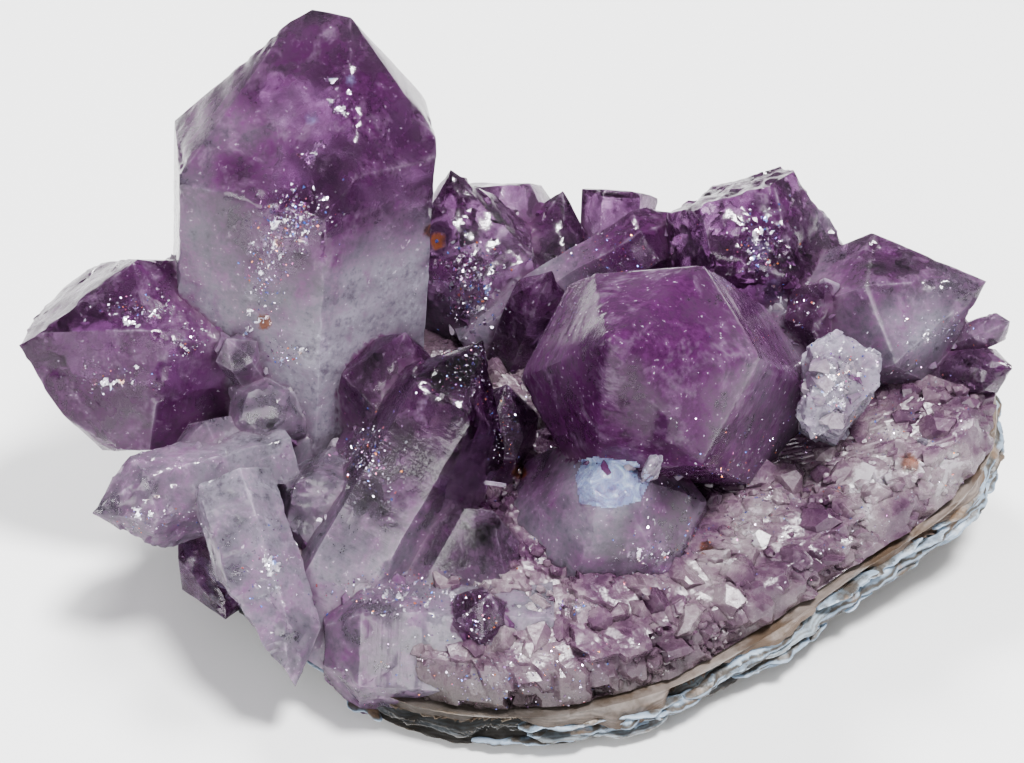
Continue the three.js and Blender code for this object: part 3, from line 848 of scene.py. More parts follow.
def wall_finish():
    """Broken quartz of the wall: purple to pale, darker brown-grey near the rind as painted shade, with
    rust in places.
    """
    finish = Finish("wall")
    purple = finish.marked("deep")
    lumps = finish.noise(0.005, detail=5, rough=0.62, twist=0.5)
    grain = finish.noise(0.0008, detail=4, rough=0.6)
    share = (0.6 - purple * 0.35 + (lumps - 0.5) * 1.5 + (grain - 0.5) * 0.6).held()
    tint = finish.ramp(
        share, (0.05, (0.04, 0.014, 0.038)), (0.4, (0.09, 0.048, 0.082)), (0.65, (0.145, 0.1, 0.128)),
        (0.88, (0.21, 0.17, 0.19)), (1, (0.36, 0.33, 0.36)))
    # Painted shade low on the wall by the rind, deepest towards the left front, where the wall's foot lies
    # in shadow.
    shade_near_rind = (finish.marked("low") * (0.55 + lumps)).held()
    tint = finish.blend(shade_near_rind, tint, colour(0.066, 0.052, 0.054))
    rust = (finish.marked("stain") + (grain - 0.5) * 0.8).spread(0.35, 0.6).held() * 0.85
    rust_tint = finish.ramp(lumps, (0.42, (0.02, 0.01, 0.008)), (0.65, (0.2, 0.055, 0.016)))
    tint = finish.blend(rust, tint, rust_tint)
    return finish.shaded(finish.principled(
        {"subsurface_method": "BURLEY"}, Base_Color=tint, Roughness=0.06 + grain * 0.4,
        Normal=finish.bump(grain, 0.6, 0.0002), IOR=QUARTZ_IOR, Subsurface_Weight=1.0,
        Subsurface_Radius=(1.0, 0.8, 1.0), Subsurface_Scale=0.00035))


DRUSE_FINISH = amethyst_finish("druse", 0.00018, (0.34, 0.3, 0.34), clear_too=False)
WALL_FINISH = wall_finish()
CORE_OUT = 0.93
CORE_STEPS = 96

# The tool that cuts the quartz off at the rind's hollow reaches this far down.
BOWL_DEPTH = 30

POINT_CREASE = math.radians(28)


def amethyst_points():
    """The crystals and the core of the wall grown into one, cut off at the rind's hollow."""
    grown = []
    for seed, crystal in enumerate(CRYSTALS):
        points, triangles = refined(*coarse_solid(crystal.normals, crystal.offsets), crystal.fine)
        grown.append(solid(f"point_{seed}", carved(crystal, points, seed), triangles))
    core = dish(
        [under_wall(out, rise) for out, rise in zip(WALL_OUT, WALL_RISE)]
        + [(out, hollow_floor(out, GAP + 0.5)) for out in (CORE_OUT, 0.8, 0.6, 0.3, 0)], CORE_STEPS)
    bowl = dish(
        [(out, hollow_floor(out, GAP)) for out in (0, 0.3, 0.6, 0.8, CORE_OUT, 0.95)]
        + [(out, lambda curl: 0 * curl - BOWL_DEPTH) for out in (0.95, 0)], CORE_STEPS)
    made = combined(joined([*grown, solid("core", *core)]), solid("bowl", *bowl), "DIFFERENCE")
    made.name = "amethyst_points"
    marks = mark_growth(made)
    made.data.shade_smooth()
    made.data.set_sharp_from_angle(angle=POINT_CREASE)
    made.data.materials.clear()
    made.data.materials.append(amethyst_finish("amethyst", 0.0008, (0.26, 0.245, 0.295)))
    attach(made, "root")
    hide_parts("amethyst_crystals")
    return made, marks


def mark_wall(piece, points, change=0.0):
    """What the wall's finish reads. change makes a place more or less purple."""
    patches = 0.9 * rumple(points, 8, 4, octaves=2)
    mark(piece, "deep", 0.45 + zoned(points, ZONES["wall"], 3) + patches + change)
    mark(piece, "stain", stained(points))
    around = np.arctan2(*(RIM[:, :2] - MIDDLE).T)
    order = np.argsort(around)
    here = np.arctan2(*(points[:, :2] - MIDDLE).T)
    curl = np.interp(here, around[order], RIM[order, 2], period=math.tau)
    # Darker low by the rind and towards the left front: painted shade.
    front_share = np.clip(0.9 - points[:, 0] / 60, 0.25, 1)
    mark(piece, "low", front_share * (1 - smoothstep(0, 8, points[:, 2] - curl - RIND_THICKNESS)))


WALL_STEPS = 420
WALL_RINGS = 70

# How far down the wall's broken edge each ring of it lies, as a share of its thickness.
EDGE_DROPS = np.linspace(0.1, 0.9, 6)

FLOOR_OUT = (0.95, 0.8, 0.6, 0.3, 0)

# Flat chips that make up the wall's surface, large to small: how high, and how far across.
WALL_CHIPS = ((2.4, 5.5), (1.2, 2.4), (0.3, 1.1))

# Where a crystal stands on the wall, the wall's skin is drawn down inside it from this depth.
COVER = 0.8

WALL_CREASE = math.radians(30)


def quartz_wall():
    """The rough face of broken quartz that the points stand on, and its edge above the rind."""
    rings = [
        (out, lambda curl, out=out: wall_height(np.interp(out, WALL_OUT, WALL_RISE), curl))
        for out in np.linspace(0, WALL_OUT[-1], WALL_RINGS)
    ]
    edge_out = np.interp(EDGE_DROPS, (0, 0.35, 0.9), (0.92, 0.95, 0.965))
    rings += [
        (out, lambda curl, drop=drop: wall_height(0, curl) - WALL_THICKNESS * drop)
        for out, drop in zip(edge_out, EDGE_DROPS)
    ]
    rings += [(out, hollow_floor(out, GAP)) for out in FLOOR_OUT]
    points, triangles = dish(rings, WALL_STEPS)
    whole_rings = [out for out, _ in rings[1:-1]]
    shares = np.concatenate([[0], np.repeat(whole_rings, WALL_STEPS), [0]])
    rounds = np.concatenate([[0], np.tile(np.arange(WALL_STEPS) / WALL_STEPS, len(whole_rings)), [0]])
    floor = place_at(shares, rounds, hollow_floor(shares, GAP + 0.8))[:, 2]
    depth = -np.min([crystal.outside(points) for crystal in CRYSTALS], axis=0)
    sunk = np.maximum(floor, points[:, 2] - 8 * (depth - COVER))
    points[:, 2] = np.where((depth > COVER) & (points[:, 2] > floor), sunk, points[:, 2])

    outward = points - np.array([*MIDDLE, -60.0])
    outward /= np.linalg.norm(outward, axis=1)[:, None]
    sideways = (points - np.array([*MIDDLE, 12.0])) * (1, 1, 0.3)
    sideways /= np.linalg.norm(sideways, axis=1)[:, None] + 1e-9
    amount = sum(high * shards(points, size, seed) for seed, (high, size) in enumerate(WALL_CHIPS, 1))
    under = WALL_STEPS * (len(FLOOR_OUT) - 1) + 1
    amount[-under:] = 0
    points = points + 0.33 * (outward + sideways) * amount[:, None]
    made = solid("quartz_wall", points, triangles)
    made.data.shade_smooth()
    made.data.set_sharp_from_angle(angle=WALL_CREASE)
    made.data.materials.append(WALL_FINISH)
    mark_wall(made, points)
    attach(made, "root")
    return made


CHANCE = np.random.default_rng(7)


def small_point(root, upward, radius, stand, deep, cloud=(0.6, 0.9)):
    """A little quartz point that grows from root and stands that far proud of it."""
    lean = unit(unit(upward) + CHANCE.normal(0, 0.22, 3))
    broken = unit(lean + CHANCE.normal(0, 0.5, 3))
    cuts = []
    if broken @ lean > 0.5 and CHANCE.random() < 0.5:
        cuts.append((root + lean * stand * 0.7, broken))
    return Crystal(
        tip=root + lean * stand, axis=lean, roll=CHANCE.uniform(0, 60),
        sides=radius * CHANCE.uniform(0.7, 1.3, SIDES), set=radius * CHANCE.uniform(-0.35, 0.35, SIDES),
        length=stand + radius * 1.6, cuts=cuts, level=True, deep=deep, fade=(stand * 0.5, stand + 2),
        cloud=cloud,
    )


def cluster(name, crystals, finish):
    """Little points in one mesh, each a closed solid. Those of the wall wear its finish."""
    points, triangles, marks = [], [], []
    count = 0
    for crystal in crystals:
        corners, faces = coarse_solid(crystal.normals, crystal.offsets)
        points.append(corners)
        triangles.append(faces + count)
        marks.append(growth_marks(crystal, corners))
        count += len(corners)
    made = solid(name, np.concatenate(points), np.concatenate(triangles))
    if finish is WALL_FINISH:
        change = [np.full(len(corners), crystal.deep) for corners, crystal in zip(points, crystals)]
        mark_wall(made, vertices_of(made), np.concatenate(change))
    else:
        for mark_name in ("deep", "cloud", "blue", "along", "lines"):
            mark(made, mark_name, np.concatenate([one[mark_name] for one in marks]))
    made.data.materials.append(finish)
    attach(made, "root")
    return made


def buried(place, depth):
    return any(crystal.outside(place[None])[0] < -depth for crystal in CRYSTALS)


def bare(root):
    """How likely the wall is smooth at a place: at the foot of the lower point."""
    x, y, _ = in_slope(root)
    return math.exp(-((x - 11) / 7) ** 2 - ((y + 21) / 3.5) ** 2)


TOP_TRIES, EDGE_TRIES = 1700, 500


def wall_points():
    """The druse of the wall and its edge: little points wherever no big one covers it."""
    grown = []
    for _ in range(TOP_TRIES):
        out, around = math.sqrt(CHANCE.uniform(0.1, 0.86)), CHANCE.random()
        root = on_wall(np.array([out]), np.array([around]))[0]
        if buried(root, 0.5) or CHANCE.random() < bare(root):
            continue
        upward = unit([*(root[:2] - MIDDLE) * out * 0.05, 1])
        radius = 0.35 + 1.7 * CHANCE.random() ** 2.5
        stand = radius * CHANCE.uniform(0.3, 1.1)
        grown.append(small_point(root, upward, radius, stand, CHANCE.normal(0, 0.35)))
    for _ in range(EDGE_TRIES):
        around, drop = CHANCE.random(), CHANCE.uniform(0.05, 0.85)
        root = place_at(np.array([0.935 + 0.02 * drop]), np.array([around]),
                        lambda curl: wall_height(0, curl) - WALL_THICKNESS * drop)[0]
        if buried(root, 0.5):
            continue
        outward = unit([*(root[:2] - MIDDLE), 12])
        radius = 0.35 + 0.9 * CHANCE.random() ** 2
        grown.append(small_point(root, outward, radius, radius * 0.5, CHANCE.normal(0, 0.35)))
    return grown


CREVICE_POINTS = 420


def crevice_points(piece, marks):
    """Little points along the lines where big ones grew into each other."""
    points, normals = vertices_of(piece), normals_of(piece)
    near = np.flatnonzero((marks["seam"] > 0.45) & (points[:, 2] > 9))
    grown = []
    for number in CHANCE.choice(near, CREVICE_POINTS, replace=False):
        radius = 0.35 + 1.0 * CHANCE.random() ** 2
        deep = np.clip(marks["deep"][number] + CHANCE.normal(0.1, 0.25), 0, 1.1)
        root = points[number] - normals[number] * 0.2
        stand = radius * CHANCE.uniform(0.3, 1.2)
        grown.append(small_point(root, normals[number], radius, stand, deep, (0.45, 0.8)))
    return grown


def seen_from_front(pieces):
    """The surface of the pieces, to lay things on by their place in the slope frame."""
    trees = []
    for piece in pieces:
        faces = [tuple(polygon.vertices) for polygon in piece.data.polygons]
        trees.append(BVHTree.FromPolygons(vertices_of(piece).tolist(), faces))

    def place(x, y):
        start = Vector(np.array([x, y, 80]) @ SLOPE_AXES + SLOPE_ORIGIN)
        hits = [tree.ray_cast(start, Vector(-SLOPE_AXES[2])) for tree in trees]
        hits = [hit for hit in hits if hit[0] is not None]
        if not hits:
            return None
        location, normal, _, _ = min(hits, key=lambda hit: hit[3])
        return np.array(location), np.array(normal)

    return place


# Places that glitter, in the slope frame: x, y, half width, half height, how many and how big.
GLITTER = [
    (-10.7, -21.8, 8, 2.0, 576, 0.21), (-2.8, -25.5, 2.5, 2.5, 144, 0.21),
    (-15.4, -8.2, 3, 4.5, 360, 0.245),
    (-4.7, 10.2, 3.5, 6, 576, 0.315), (-22.7, 16.4, 4, 3.5, 480, 0.245), (-26, 11, 2.5, 4, 288, 0.21),
    (-24, 3, 2, 1.5, 96, 0.21), (-40, 7.7, 5, 1.5, 120, 0.21), (-34.6, 3.9, 2.5, 2, 96, 0.21),
    (-43, 0.5, 5, 2.5, 96, 0.175), (-0.7, -5, 1.6, 6, 384, 0.126), (-5.4, 0.7, 4, 4, 384, 0.112),
    (27.7, 15.8, 4, 4, 192, 0.28), (31, 8, 3, 4, 144, 0.21), (6.6, -23.4, 3.5, 0.7, 144, 0.245),
    (15.5, -18.7, 4, 3, 168, 0.21), (-38, -14.5, 5, 2, 144, 0.175), (-25.9, -18.7, 3, 5, 144, 0.175),
    (47.9, 5.6, 4, 2, 144, 0.175), (34.7, 0.2, 3, 4, 216, 0.21), (11.2, 14.5, 7, 3, 384, 0.126),
    (28, -12, 14, 8, 1008, 0.21), (0, -30, 14, 5, 624, 0.21), (44, -4, 8, 8, 480, 0.196),
]


def spangle(place, normal, radius):
    """A thin chip of bright quartz, lying nearly flat: points and triangles of a closed solid."""
    facing = unit(normal + CHANCE.normal(0, 0.45, 3))
    across = unit(np.cross(facing, CHANCE.normal(0, 1, 3)))
    upward = np.cross(facing, across)
    turns = np.sort(CHANCE.uniform(0, math.tau / 5, 5) + np.arange(5) * math.tau / 5)
    reach = radius * CHANCE.uniform(0.5, 1.2, 5)
    flat = (np.cos(turns) * reach)[:, None] * across + (np.sin(turns) * reach)[:, None] * upward
    thick = facing * 0.04
    points = np.concatenate([place + flat * 0.8 + thick, place + flat - thick])
    triangles = [(0, n, n + 1) for n in range(1, 4)] + [(5, 5 + n + 1, 5 + n) for n in range(1, 4)]
    for a in range(5):
        b = (a + 1) % 5
        triangles += [(a + 5, b + 5, b), (a + 5, b, a)]
    return points, np.array(triangles)


def spangles(front, loose):
    """Glitter where the photo glitters, and loose: (piece, how many, how big) over whole pieces."""
    chips = []
    for x, y, wide, tall, count, size in GLITTER:
        for _ in range(count):
            found = front(x + CHANCE.normal(0, wide / 2), y + CHANCE.normal(0, tall / 2))
            if found:
                chips.append(spangle(*found, size * CHANCE.uniform(0.2, 1.0) ** 2))
    for piece, count, size in loose:
        points, normals = vertices_of(piece), normals_of(piece)
        above = np.flatnonzero(points[:, 2] > 12)
        for number in CHANCE.choice(above, count, replace=False):
            chips.append(spangle(points[number], normals[number], size * CHANCE.uniform(0.3, 1.3)))
    points = np.concatenate([chip[0] for chip in chips])
    triangles = np.concatenate([chip[1] + 10 * number for number, chip in enumerate(chips)])
    made = solid("spangles", points, triangles)
    mark(made, "hue", np.repeat(CHANCE.random(len(chips)), 10))
    finish = Finish("spangle")
    tint = finish.ramp(
        finish.marked("hue"), (0, (0.55, 0.53, 0.6)), (0.5, (0.4, 0.34, 0.44)), (0.75, (0.25, 0.15, 0.27)),
        (0.84, (0.15, 0.28, 0.8)), (0.92, (0.8, 0.28, 0.5)), (1, (0.9, 0.35, 0.1)))
    made.data.materials.append(finish.shaded(finish.principled(
        Base_Color=tint, Metallic=0.8, Roughness=0.12 + finish.noise(0.0005) * 0.1)))
    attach(made, "root")


# A thin square cell: corners 0 to 3 in front, 4 to 7 behind.
CELL_TRIANGLES = [
    (0, 1, 3), (0, 3, 2), (4, 7, 5), (4, 6, 7), (0, 4, 5), (0, 5, 1), (1, 5, 7), (1, 7, 3),
    (3, 7, 6), (3, 6, 2), (2, 6, 4), (2, 4, 0),
]

# Where a laid sheet falls away more steeply than this from cell to cell, it is left open.
STEEPEST = 0.5


def laid_cells(name, sheets, thick):
    """One mesh of thin closed cells. Each sheet is a grid of places and which of them are kept."""
    cells = []
    for sheet, kept in sheets:
        index = np.arange(kept.size).reshape(kept.shape)
        whole = kept[:-1, :-1] & kept[1:, :-1] & kept[:-1, 1:] & kept[1:, 1:]
        for row, column in np.argwhere(whole):
            face = sheet[index[row:row + 2, column:column + 2].ravel()]
            if np.ptp(face[:, 2]) <= STEEPEST:
                both = np.concatenate([face, face - (0, 0, thick)])
                cells.append(both @ SLOPE_AXES + SLOPE_ORIGIN)
    triangles = [np.array(CELL_TRIANGLES) + 8 * number for number in range(len(cells))]
    return solid(name, np.concatenate(cells), np.concatenate(triangles))


def grid(low, high, spacing):
    """Places in rows between two corners, one row after another, and the grid's shape."""
    across, upward = (np.arange(low[n], high[n], spacing) for n in (0, 1))
    return np.array([(x, y, 0) for y in upward for x in across]), (len(upward), len(across))


# Silvery fractures inside the clear parts: x, y, half width, half height, depth below the face.
VEILS = [
    (-22.5, 16.5, 4.5, 4, 1.2), (-26, 12, 2.5, 4.5, 1.0), (-27, 6, 2, 3, 1.0),
    (-17.5, 29, 2.6, 4, 1.2), (-21, 25.5, 2, 3, 1.5),
    (-24, 3, 2.6, 2, 1.0), (-39, 6.5, 5, 2.2, 1.4), (-43, 0.5, 5, 2.5, 1.5), (-34, 4, 2, 2.5, 1.2),
    (27.7, 15.8, 3.5, 4.5, 1.2), (31, 9, 3, 4.5, 1.2), (46, 5.5, 4, 2, 1.2), (-4.7, 10.2, 3, 5, 0.9),
    (14, -17, 4, 3, 1.2), (-24.5, -19, 2.4, 4, 1.0), (34.7, 0.5, 3, 4, 1.0),
    (-38, -13.5, 4, 2, 1.0), (-10, -22, 6, 1.8, 0.9),
]


def veils(front_face):
    """Thin silvery sheets, cracked like foil, that follow the face above them."""
    sheets = []
    for seed, (x, y, wide, tall, depth) in enumerate(VEILS):
        flat, shape = grid((-wide, -tall), (wide, tall), 0.2)
        flat = flat + (x, y, 0)
        found = [front_face(u, v) for u, v, _ in flat]
        there = np.array([hit is not None for hit in found])
        sheet = in_slope(np.array([hit[0] if hit else np.zeros(3) for hit in found]))
        cracks = 0.26 * shards(flat, 1.0, seed) + 0.12 * shards(flat, 0.45, seed + 40)
        sheet[:, 2] -= depth * 0.08 + cracks
        reach_squared = (((flat[:, :2] - (x, y)) / (wide, tall)) ** 2).sum(axis=1)
        kept = there & (0.9 * rumple(flat, 1.1, seed + 5) + 0.25 - 0.8 * reach_squared > 0)
        sheets.append((sheet, kept.reshape(shape)))
    made = laid_cells("veils", sheets, 0.05)
    finish = Finish("veil")
    tint = finish.ramp(
        finish.noise(0.002, detail=2), (0.3, (0.8, 0.5, 0.4)), (0.4, (0.8, 0.76, 0.84)),
        (0.62, (0.8, 0.76, 0.86)), (0.68, (0.35, 0.5, 0.95)), (0.75, (0.85, 0.5, 0.75)))
    made.data.materials.append(finish.shaded(finish.principled(
        Base_Color=tint, Metallic=0.75, Roughness=0.15 + finish.noise(0.0005) * 0.2)))
    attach(made, "root")


# The flat fracture with clean edges, tinted pale blue as a painted sheen: its corners, clockwise,
# in the slope frame.
FRACTURE = np.array([
    (6.3, -8.3), (8.6, -7.7), (12.9, -8.2), (14.6, -9.9), (13.4, -12.4), (10.2, -13.2), (6.9, -12.7),
])

FRACTURE_PROUD, FRACTURE_THICK = 0.09, 0.12


def fracture(front_face):
    """A thin plate just proud of the lower point, cut to its corners and lightly stepped."""
    spacing = 0.16
    edges = np.roll(FRACTURE, -1, 0) - FRACTURE
    flat, shape = grid(FRACTURE.min(axis=0), FRACTURE.max(axis=0) + spacing, spacing)
    gap = flat[:, None, :2] - FRACTURE
    beyond = edges[:, 0] * gap[..., 1] - edges[:, 1] * gap[..., 0]
    inside = (beyond <= 0.05 * rumple(flat, 0.8, 0)[:, None]).all(axis=1)
    found = [front_face(x, y) if here else None for (x, y, _), here in zip(flat, inside)]
    there = np.array([hit is not None for hit in found]).reshape(shape)
    sheet = in_slope(np.array([hit[0] if hit else np.zeros(3) for hit in found]))
    sheet[:, 2] += FRACTURE_PROUD + 0.04 * ledges(flat[:, 0] + 0.4 * flat[:, 1], flat[:, 1], 1.1, 0)
    made = laid_cells("fracture_painted_sheen", [(sheet, there)], FRACTURE_THICK)
    finish = Finish("fracture painted sheen")
    streaks = finish.noise(0.0022, detail=4, rough=0.65, twist=1.5)
    fine = finish.noise(0.0006, detail=3)
    # The plate's blue-grey streaks are a painted sheen, not the quartz's own colour.
    tint = finish.ramp(
        streaks, (0.34, (0.12, 0.09, 0.18)), (0.45, (0.16, 0.16, 0.27)), (0.56, (0.21, 0.23, 0.36)),
        (0.66, (0.34, 0.37, 0.47)))
    made.data.materials.append(finish.shaded(finish.principled(
        Base_Color=tint, Roughness=0.12 + fine * 0.35, Normal=finish.bump(fine + streaks, 0.5, 0.0002),
        Specular_IOR_Level=0.4, Subsurface_Weight=0.5, Subsurface_Scale=0.0003)))
    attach(made, "root")


# Down the rind's face, 0 at the top and 1 at its lower edge: where each band begins, how far it
# stands out, and which tint it takes.
RIND_LAYERS = (0, 0.24, 0.31, 0.36, 0.6, 0.66, 0.73, 0.9, 0.95, 1)

RIND_STAND = (0.2, 0.4, -1.9, -2.0, 0.9, 0.5, -2.4, -0.2, -0.5, -1.4)
# Bands that stand back take near-black tints: painted shade in the grooves and under the lower edge.
RIND_TINT = (0.05, 0.16, 0.3, 0.36, 0.5, 0.56, 0.72, 0.84, 0.9, 1)

# How much painted shade darkens the rind, by share of the way round: most at the front and the front left,
# where the rind lies in shadow.
RIND_SHADE = ((0, 0.02, 0.06, 0.2, 0.3, 0.5, 0.8, 0.86, 1), (0.9, 0.75, 0.45, 0.3, 0.05, 0.4, 0.4, 0.9, 0.9))

RIND_CREASE = math.radians(40)


def rind_finish():
    finish = Finish("rind")
    layer = finish.marked("layer")
    blotch = finish.noise(0.006, detail=5, rough=0.65)
    fine = finish.noise(0.0012, detail=5, rough=0.65)
    banded = (layer + (blotch - 0.5) * 0.14 + (fine - 0.5) * 0.05).held()
    lines = (layer * 330 + blotch * 16).math("SINE") * 0.5 + 0.5
    # The near-black stops at 0.3, 0.68 and from 0.88 fall on the recessed grooves, the lower edge and the
    # underside: painted shade.
    tint = finish.ramp(
        banded, (0, (0.3, 0.26, 0.24)), (0.12, (0.24, 0.18, 0.15)), (0.22, (0.13, 0.08, 0.055)),
        (0.3, (0.02, 0.02, 0.018)), (0.38, (0.16, 0.19, 0.21)), (0.5, (0.38, 0.46, 0.53)),
        (0.58, (0.22, 0.25, 0.28)), (0.68, (0.015, 0.015, 0.014)), (0.78, (0.2, 0.2, 0.2)),
        (0.88, (0.07, 0.065, 0.06)), (1, (0.03, 0.027, 0.024)))
    tint = finish.blend((lines * (0.2 + fine) * 0.8).held(), tint, colour(0.075, 0.055, 0.045))
    tint = finish.blend((blotch.spread(0.52, 0.64) * 0.7).held(), tint, colour(0.12, 0.07, 0.035))
    # Painted shade, near black, where the rind lies in shadow.
    dark = (finish.marked("dark") * (0.6 + blotch * 0.6)).held()
    tint = finish.blend(dark, tint, colour(0.03, 0.027, 0.024))
    return finish.shaded(finish.principled(
        Base_Color=tint, Roughness=0.35 + fine * 0.4, Normal=finish.bump(fine + blotch * 0.5, 0.5, 0.0003),
        Subsurface_Weight=0.35, Subsurface_Radius=(1.0, 0.9, 0.8), Subsurface_Scale=0.0006))


def rind():
    """The banded rind: cream agate, a dark groove, and wavy shelves of blue-white chalcedony."""
    around_steps, face_rings, under_rings = 800, 52, 44
    face_out, lip_out, middle_out, foot_out = 0.985, 0.9, 0.05, 0.58
    around = np.arange(around_steps) / around_steps
    rim = rim_at(around)
    rings, layers = [], []

    def ring(out, heights, layer):
        flat = MIDDLE + (rim[:, :2] - MIDDLE) * out
        rings.append(np.column_stack([flat, heights]))
        layers.append(np.full(around_steps, layer))

    curl = rim[:, 2]
    for out in np.linspace(lip_out, 0.975, 8):
        ring(out, hollow_floor(out, 0)(curl), 0.0)
    for share in np.linspace(0, 1, face_rings):
        ring(face_out, curl * (1 - 0.06 * share) + RIND_THICKNESS * (1 - share), share)
    for share in np.linspace(0, 1, under_rings)[1:-1]:
        out = face_out - (face_out - middle_out) * share
        bowl = np.clip((out - foot_out) / (face_out - foot_out), 0, 1) ** 1.6
        ring(out, curl * 0.94 * bowl, 1 + share)
    points, layer = np.concatenate(rings), np.concatenate(layers)
    outward = rim[:, :2] - MIDDLE
    outward = np.tile(outward / np.linalg.norm(outward, axis=1)[:, None], (len(rings), 1))

    on_face, below = (layer > 0) & (layer <= 1), layer > 1
    wave = 0.3 * rumple(points * (1, 1, 0.3), 12, 3) + 0.08 * rumple(points, 2.5, 5)
    shown = np.clip(layer + wave * np.sin(np.pi * np.clip(layer, 0, 1)), 0, 1)
    stand = np.interp(shown, RIND_LAYERS, RIND_STAND)
    broken = np.clip(rumple(points * (1, 1, 0.5), 7, 8) * 2.6 - 0.3, -2, 0.4)
    taper = np.clip(np.minimum(layer / 0.1, (2 - layer) / 0.3), 0, 1)
    stand = stand * np.where(below, np.clip(1 - (layer - 1) * 9, 0, 1), 1) * taper
    stand += taper * np.where(stand > 0, 0.9 * broken, 0.2 * broken) + taper * 0.25 * rumple(points, 1.6, 2)
    points[:, :2] += outward * np.clip(stand, -2.5, 1.2)[:, None]
    lift = 0.5 + 0.5 * rumple(points, 4, 12)
    points[:, 2] += np.where(below, 0.5 * np.clip(lift, 0, 2) * np.clip((layer - 1) * 8, 0, 1), 0)
    points[:, 2] += np.where(on_face, 0.35 * rumple(points, 3.5, 14) * taper, 0)
    points[:, 2] = np.maximum(points[:, 2], 0)

    step = np.arange(around_steps)
    after = (step + 1) % around_steps
    triangles = []
    for number in range(len(rings) - 1):
        a, b = number * around_steps + step, number * around_steps + after
        c, d = a + around_steps, b + around_steps
        triangles += [np.stack([a, c, d], 1), np.stack([a, d, b], 1)]
    top, bottom = len(points), len(points) + 1
    last = (len(rings) - 1) * around_steps
    middle = np.array([[*MIDDLE, RIND_THICKNESS], [*MIDDLE, points[last:, 2].mean()]])
    points = np.concatenate([points, middle])
    triangles.append(np.stack([np.full(around_steps, top), step, after], 1))
    triangles.append(np.stack([np.full(around_steps, bottom), last + after, last + step], 1))
    made = solid("agate_bands", points, np.concatenate(triangles))
    # Painted shade at the front and front left of the rind.
    dark = np.tile(np.interp(around, *RIND_SHADE), len(rings))
    mark(made, "dark", np.concatenate([dark, [1, 1]]))
    layer = np.concatenate([np.where(below, layer, shown), [0, 2]])
    tinted = np.where(layer > 1, 1 + 0.2 * (layer - 1), np.interp(layer, RIND_LAYERS, RIND_TINT))
    mark(made, "layer", tinted)
    made.data.shade_smooth()
    made.data.set_sharp_from_angle(angle=RIND_CREASE)
    made.data.materials.append(rind_finish())
    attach(made, "root")
    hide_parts("agate_rind")


def shelf(start, length, drop, high, deep, seed):
    """A wavy shelf of chalcedony along the rind's edge, built of thin layers, thin at both ends."""
    steps, sides = 90, 18
    share = np.linspace(0, 1, steps + 1)[1:-1]
    rim = rim_at(start + share * length)
    outward = rim[:, :2] - MIDDLE
    outward = np.column_stack([outward / np.linalg.norm(outward, axis=1)[:, None], np.zeros(len(rim))])
    flat = MIDDLE + (rim[:, :2] - MIDDLE) * 0.98
    centre = np.column_stack([flat, rim[:, 2] + RIND_THICKNESS * (1 - drop)])
    centre[:, 2] += 0.5 * swell(centre, 9, seed) + 0.3 * swell(centre, 2.6, seed + 1)
    centre += outward * (0.5 * swell(centre, 4, seed + 2) + 0.3 * swell(centre, 1.3, seed + 6))[:, None]
    taper = np.sin(np.pi * share) ** 0.4 * (1 + 0.45 * rumple(centre, 3, seed + 3))

    turn = np.tile(np.arange(sides) * math.tau / sides, len(centre))
    size = np.repeat(taper, sides)
    outward = np.repeat(outward, sides, axis=0)
    points = np.repeat(centre, sides, axis=0) + outward * (np.cos(turn) * deep * size)[:, None]
    points[:, 2] += np.sin(turn) * high * size
    level = points[:, 2] - np.repeat(centre[:, 2], sides) + 0.3 * swell(points, 3, seed + 4)
    steps_out = 0.22 * shards(np.column_stack([points[:, :2] / 6, level[:, None]]), 0.55, seed)
    steps_out += 0.1 * rumple(points, 0.9, seed + 5)
    points += outward * (steps_out * np.clip(np.cos(turn) + 0.6, 0, 1))[:, None]
    points[:, 2] = np.maximum(points[:, 2], 0.05)

    triangles = []
    ring, after = np.arange(sides), (np.arange(sides) + 1) % sides
    for number in range(len(centre) - 1):
        a, b = number * sides + ring, number * sides + after
        triangles += [np.stack([a, b, b + sides], 1), np.stack([a, b + sides, a + sides], 1)]
    first, last = len(points), len(points) + 1
    end = (len(centre) - 1) * sides
    points = np.concatenate([points, centre[:1], centre[-1:]])
    triangles.append(np.stack([np.full(sides, first), after, ring], 1))
    triangles.append(np.stack([np.full(sides, last), end + ring, end + after], 1))
    return points, np.concatenate(triangles), np.append(level, (0, 0))


# Shelves of chalcedony the photo shows: start and length in shares of the way round the rim, how
# far down the rind's face, half height and half depth.
SHELVES = [
    (0.005, 0.085, 0.62, 0.75, 1.1), (0.02, 0.05, 0.3, 0.3, 1.0), (0.07, 0.07, 0.45, 0.7, 1.0),
    (0.1, 0.05, 0.8, 0.45, 1.2),
    (0.13, 0.09, 0.55, 0.9, 1.2), (0.15, 0.06, 0.25, 0.3, 0.9), (0.2, 0.07, 0.6, 0.75, 1.1),
    (0.22, 0.05, 0.85, 0.35, 1.3),
    (0.26, 0.06, 0.5, 0.5, 0.9), (0.3, 0.06, 0.6, 0.4, 0.8), (0.33, 0.06, 0.4, 0.35, 0.8),
    (-0.02, 0.05, 0.75, 0.4, 0.7),
]

FRONT_SHELVES, BACK_SHELVES = 18, 14
SHELF_CREASE = math.radians(45)


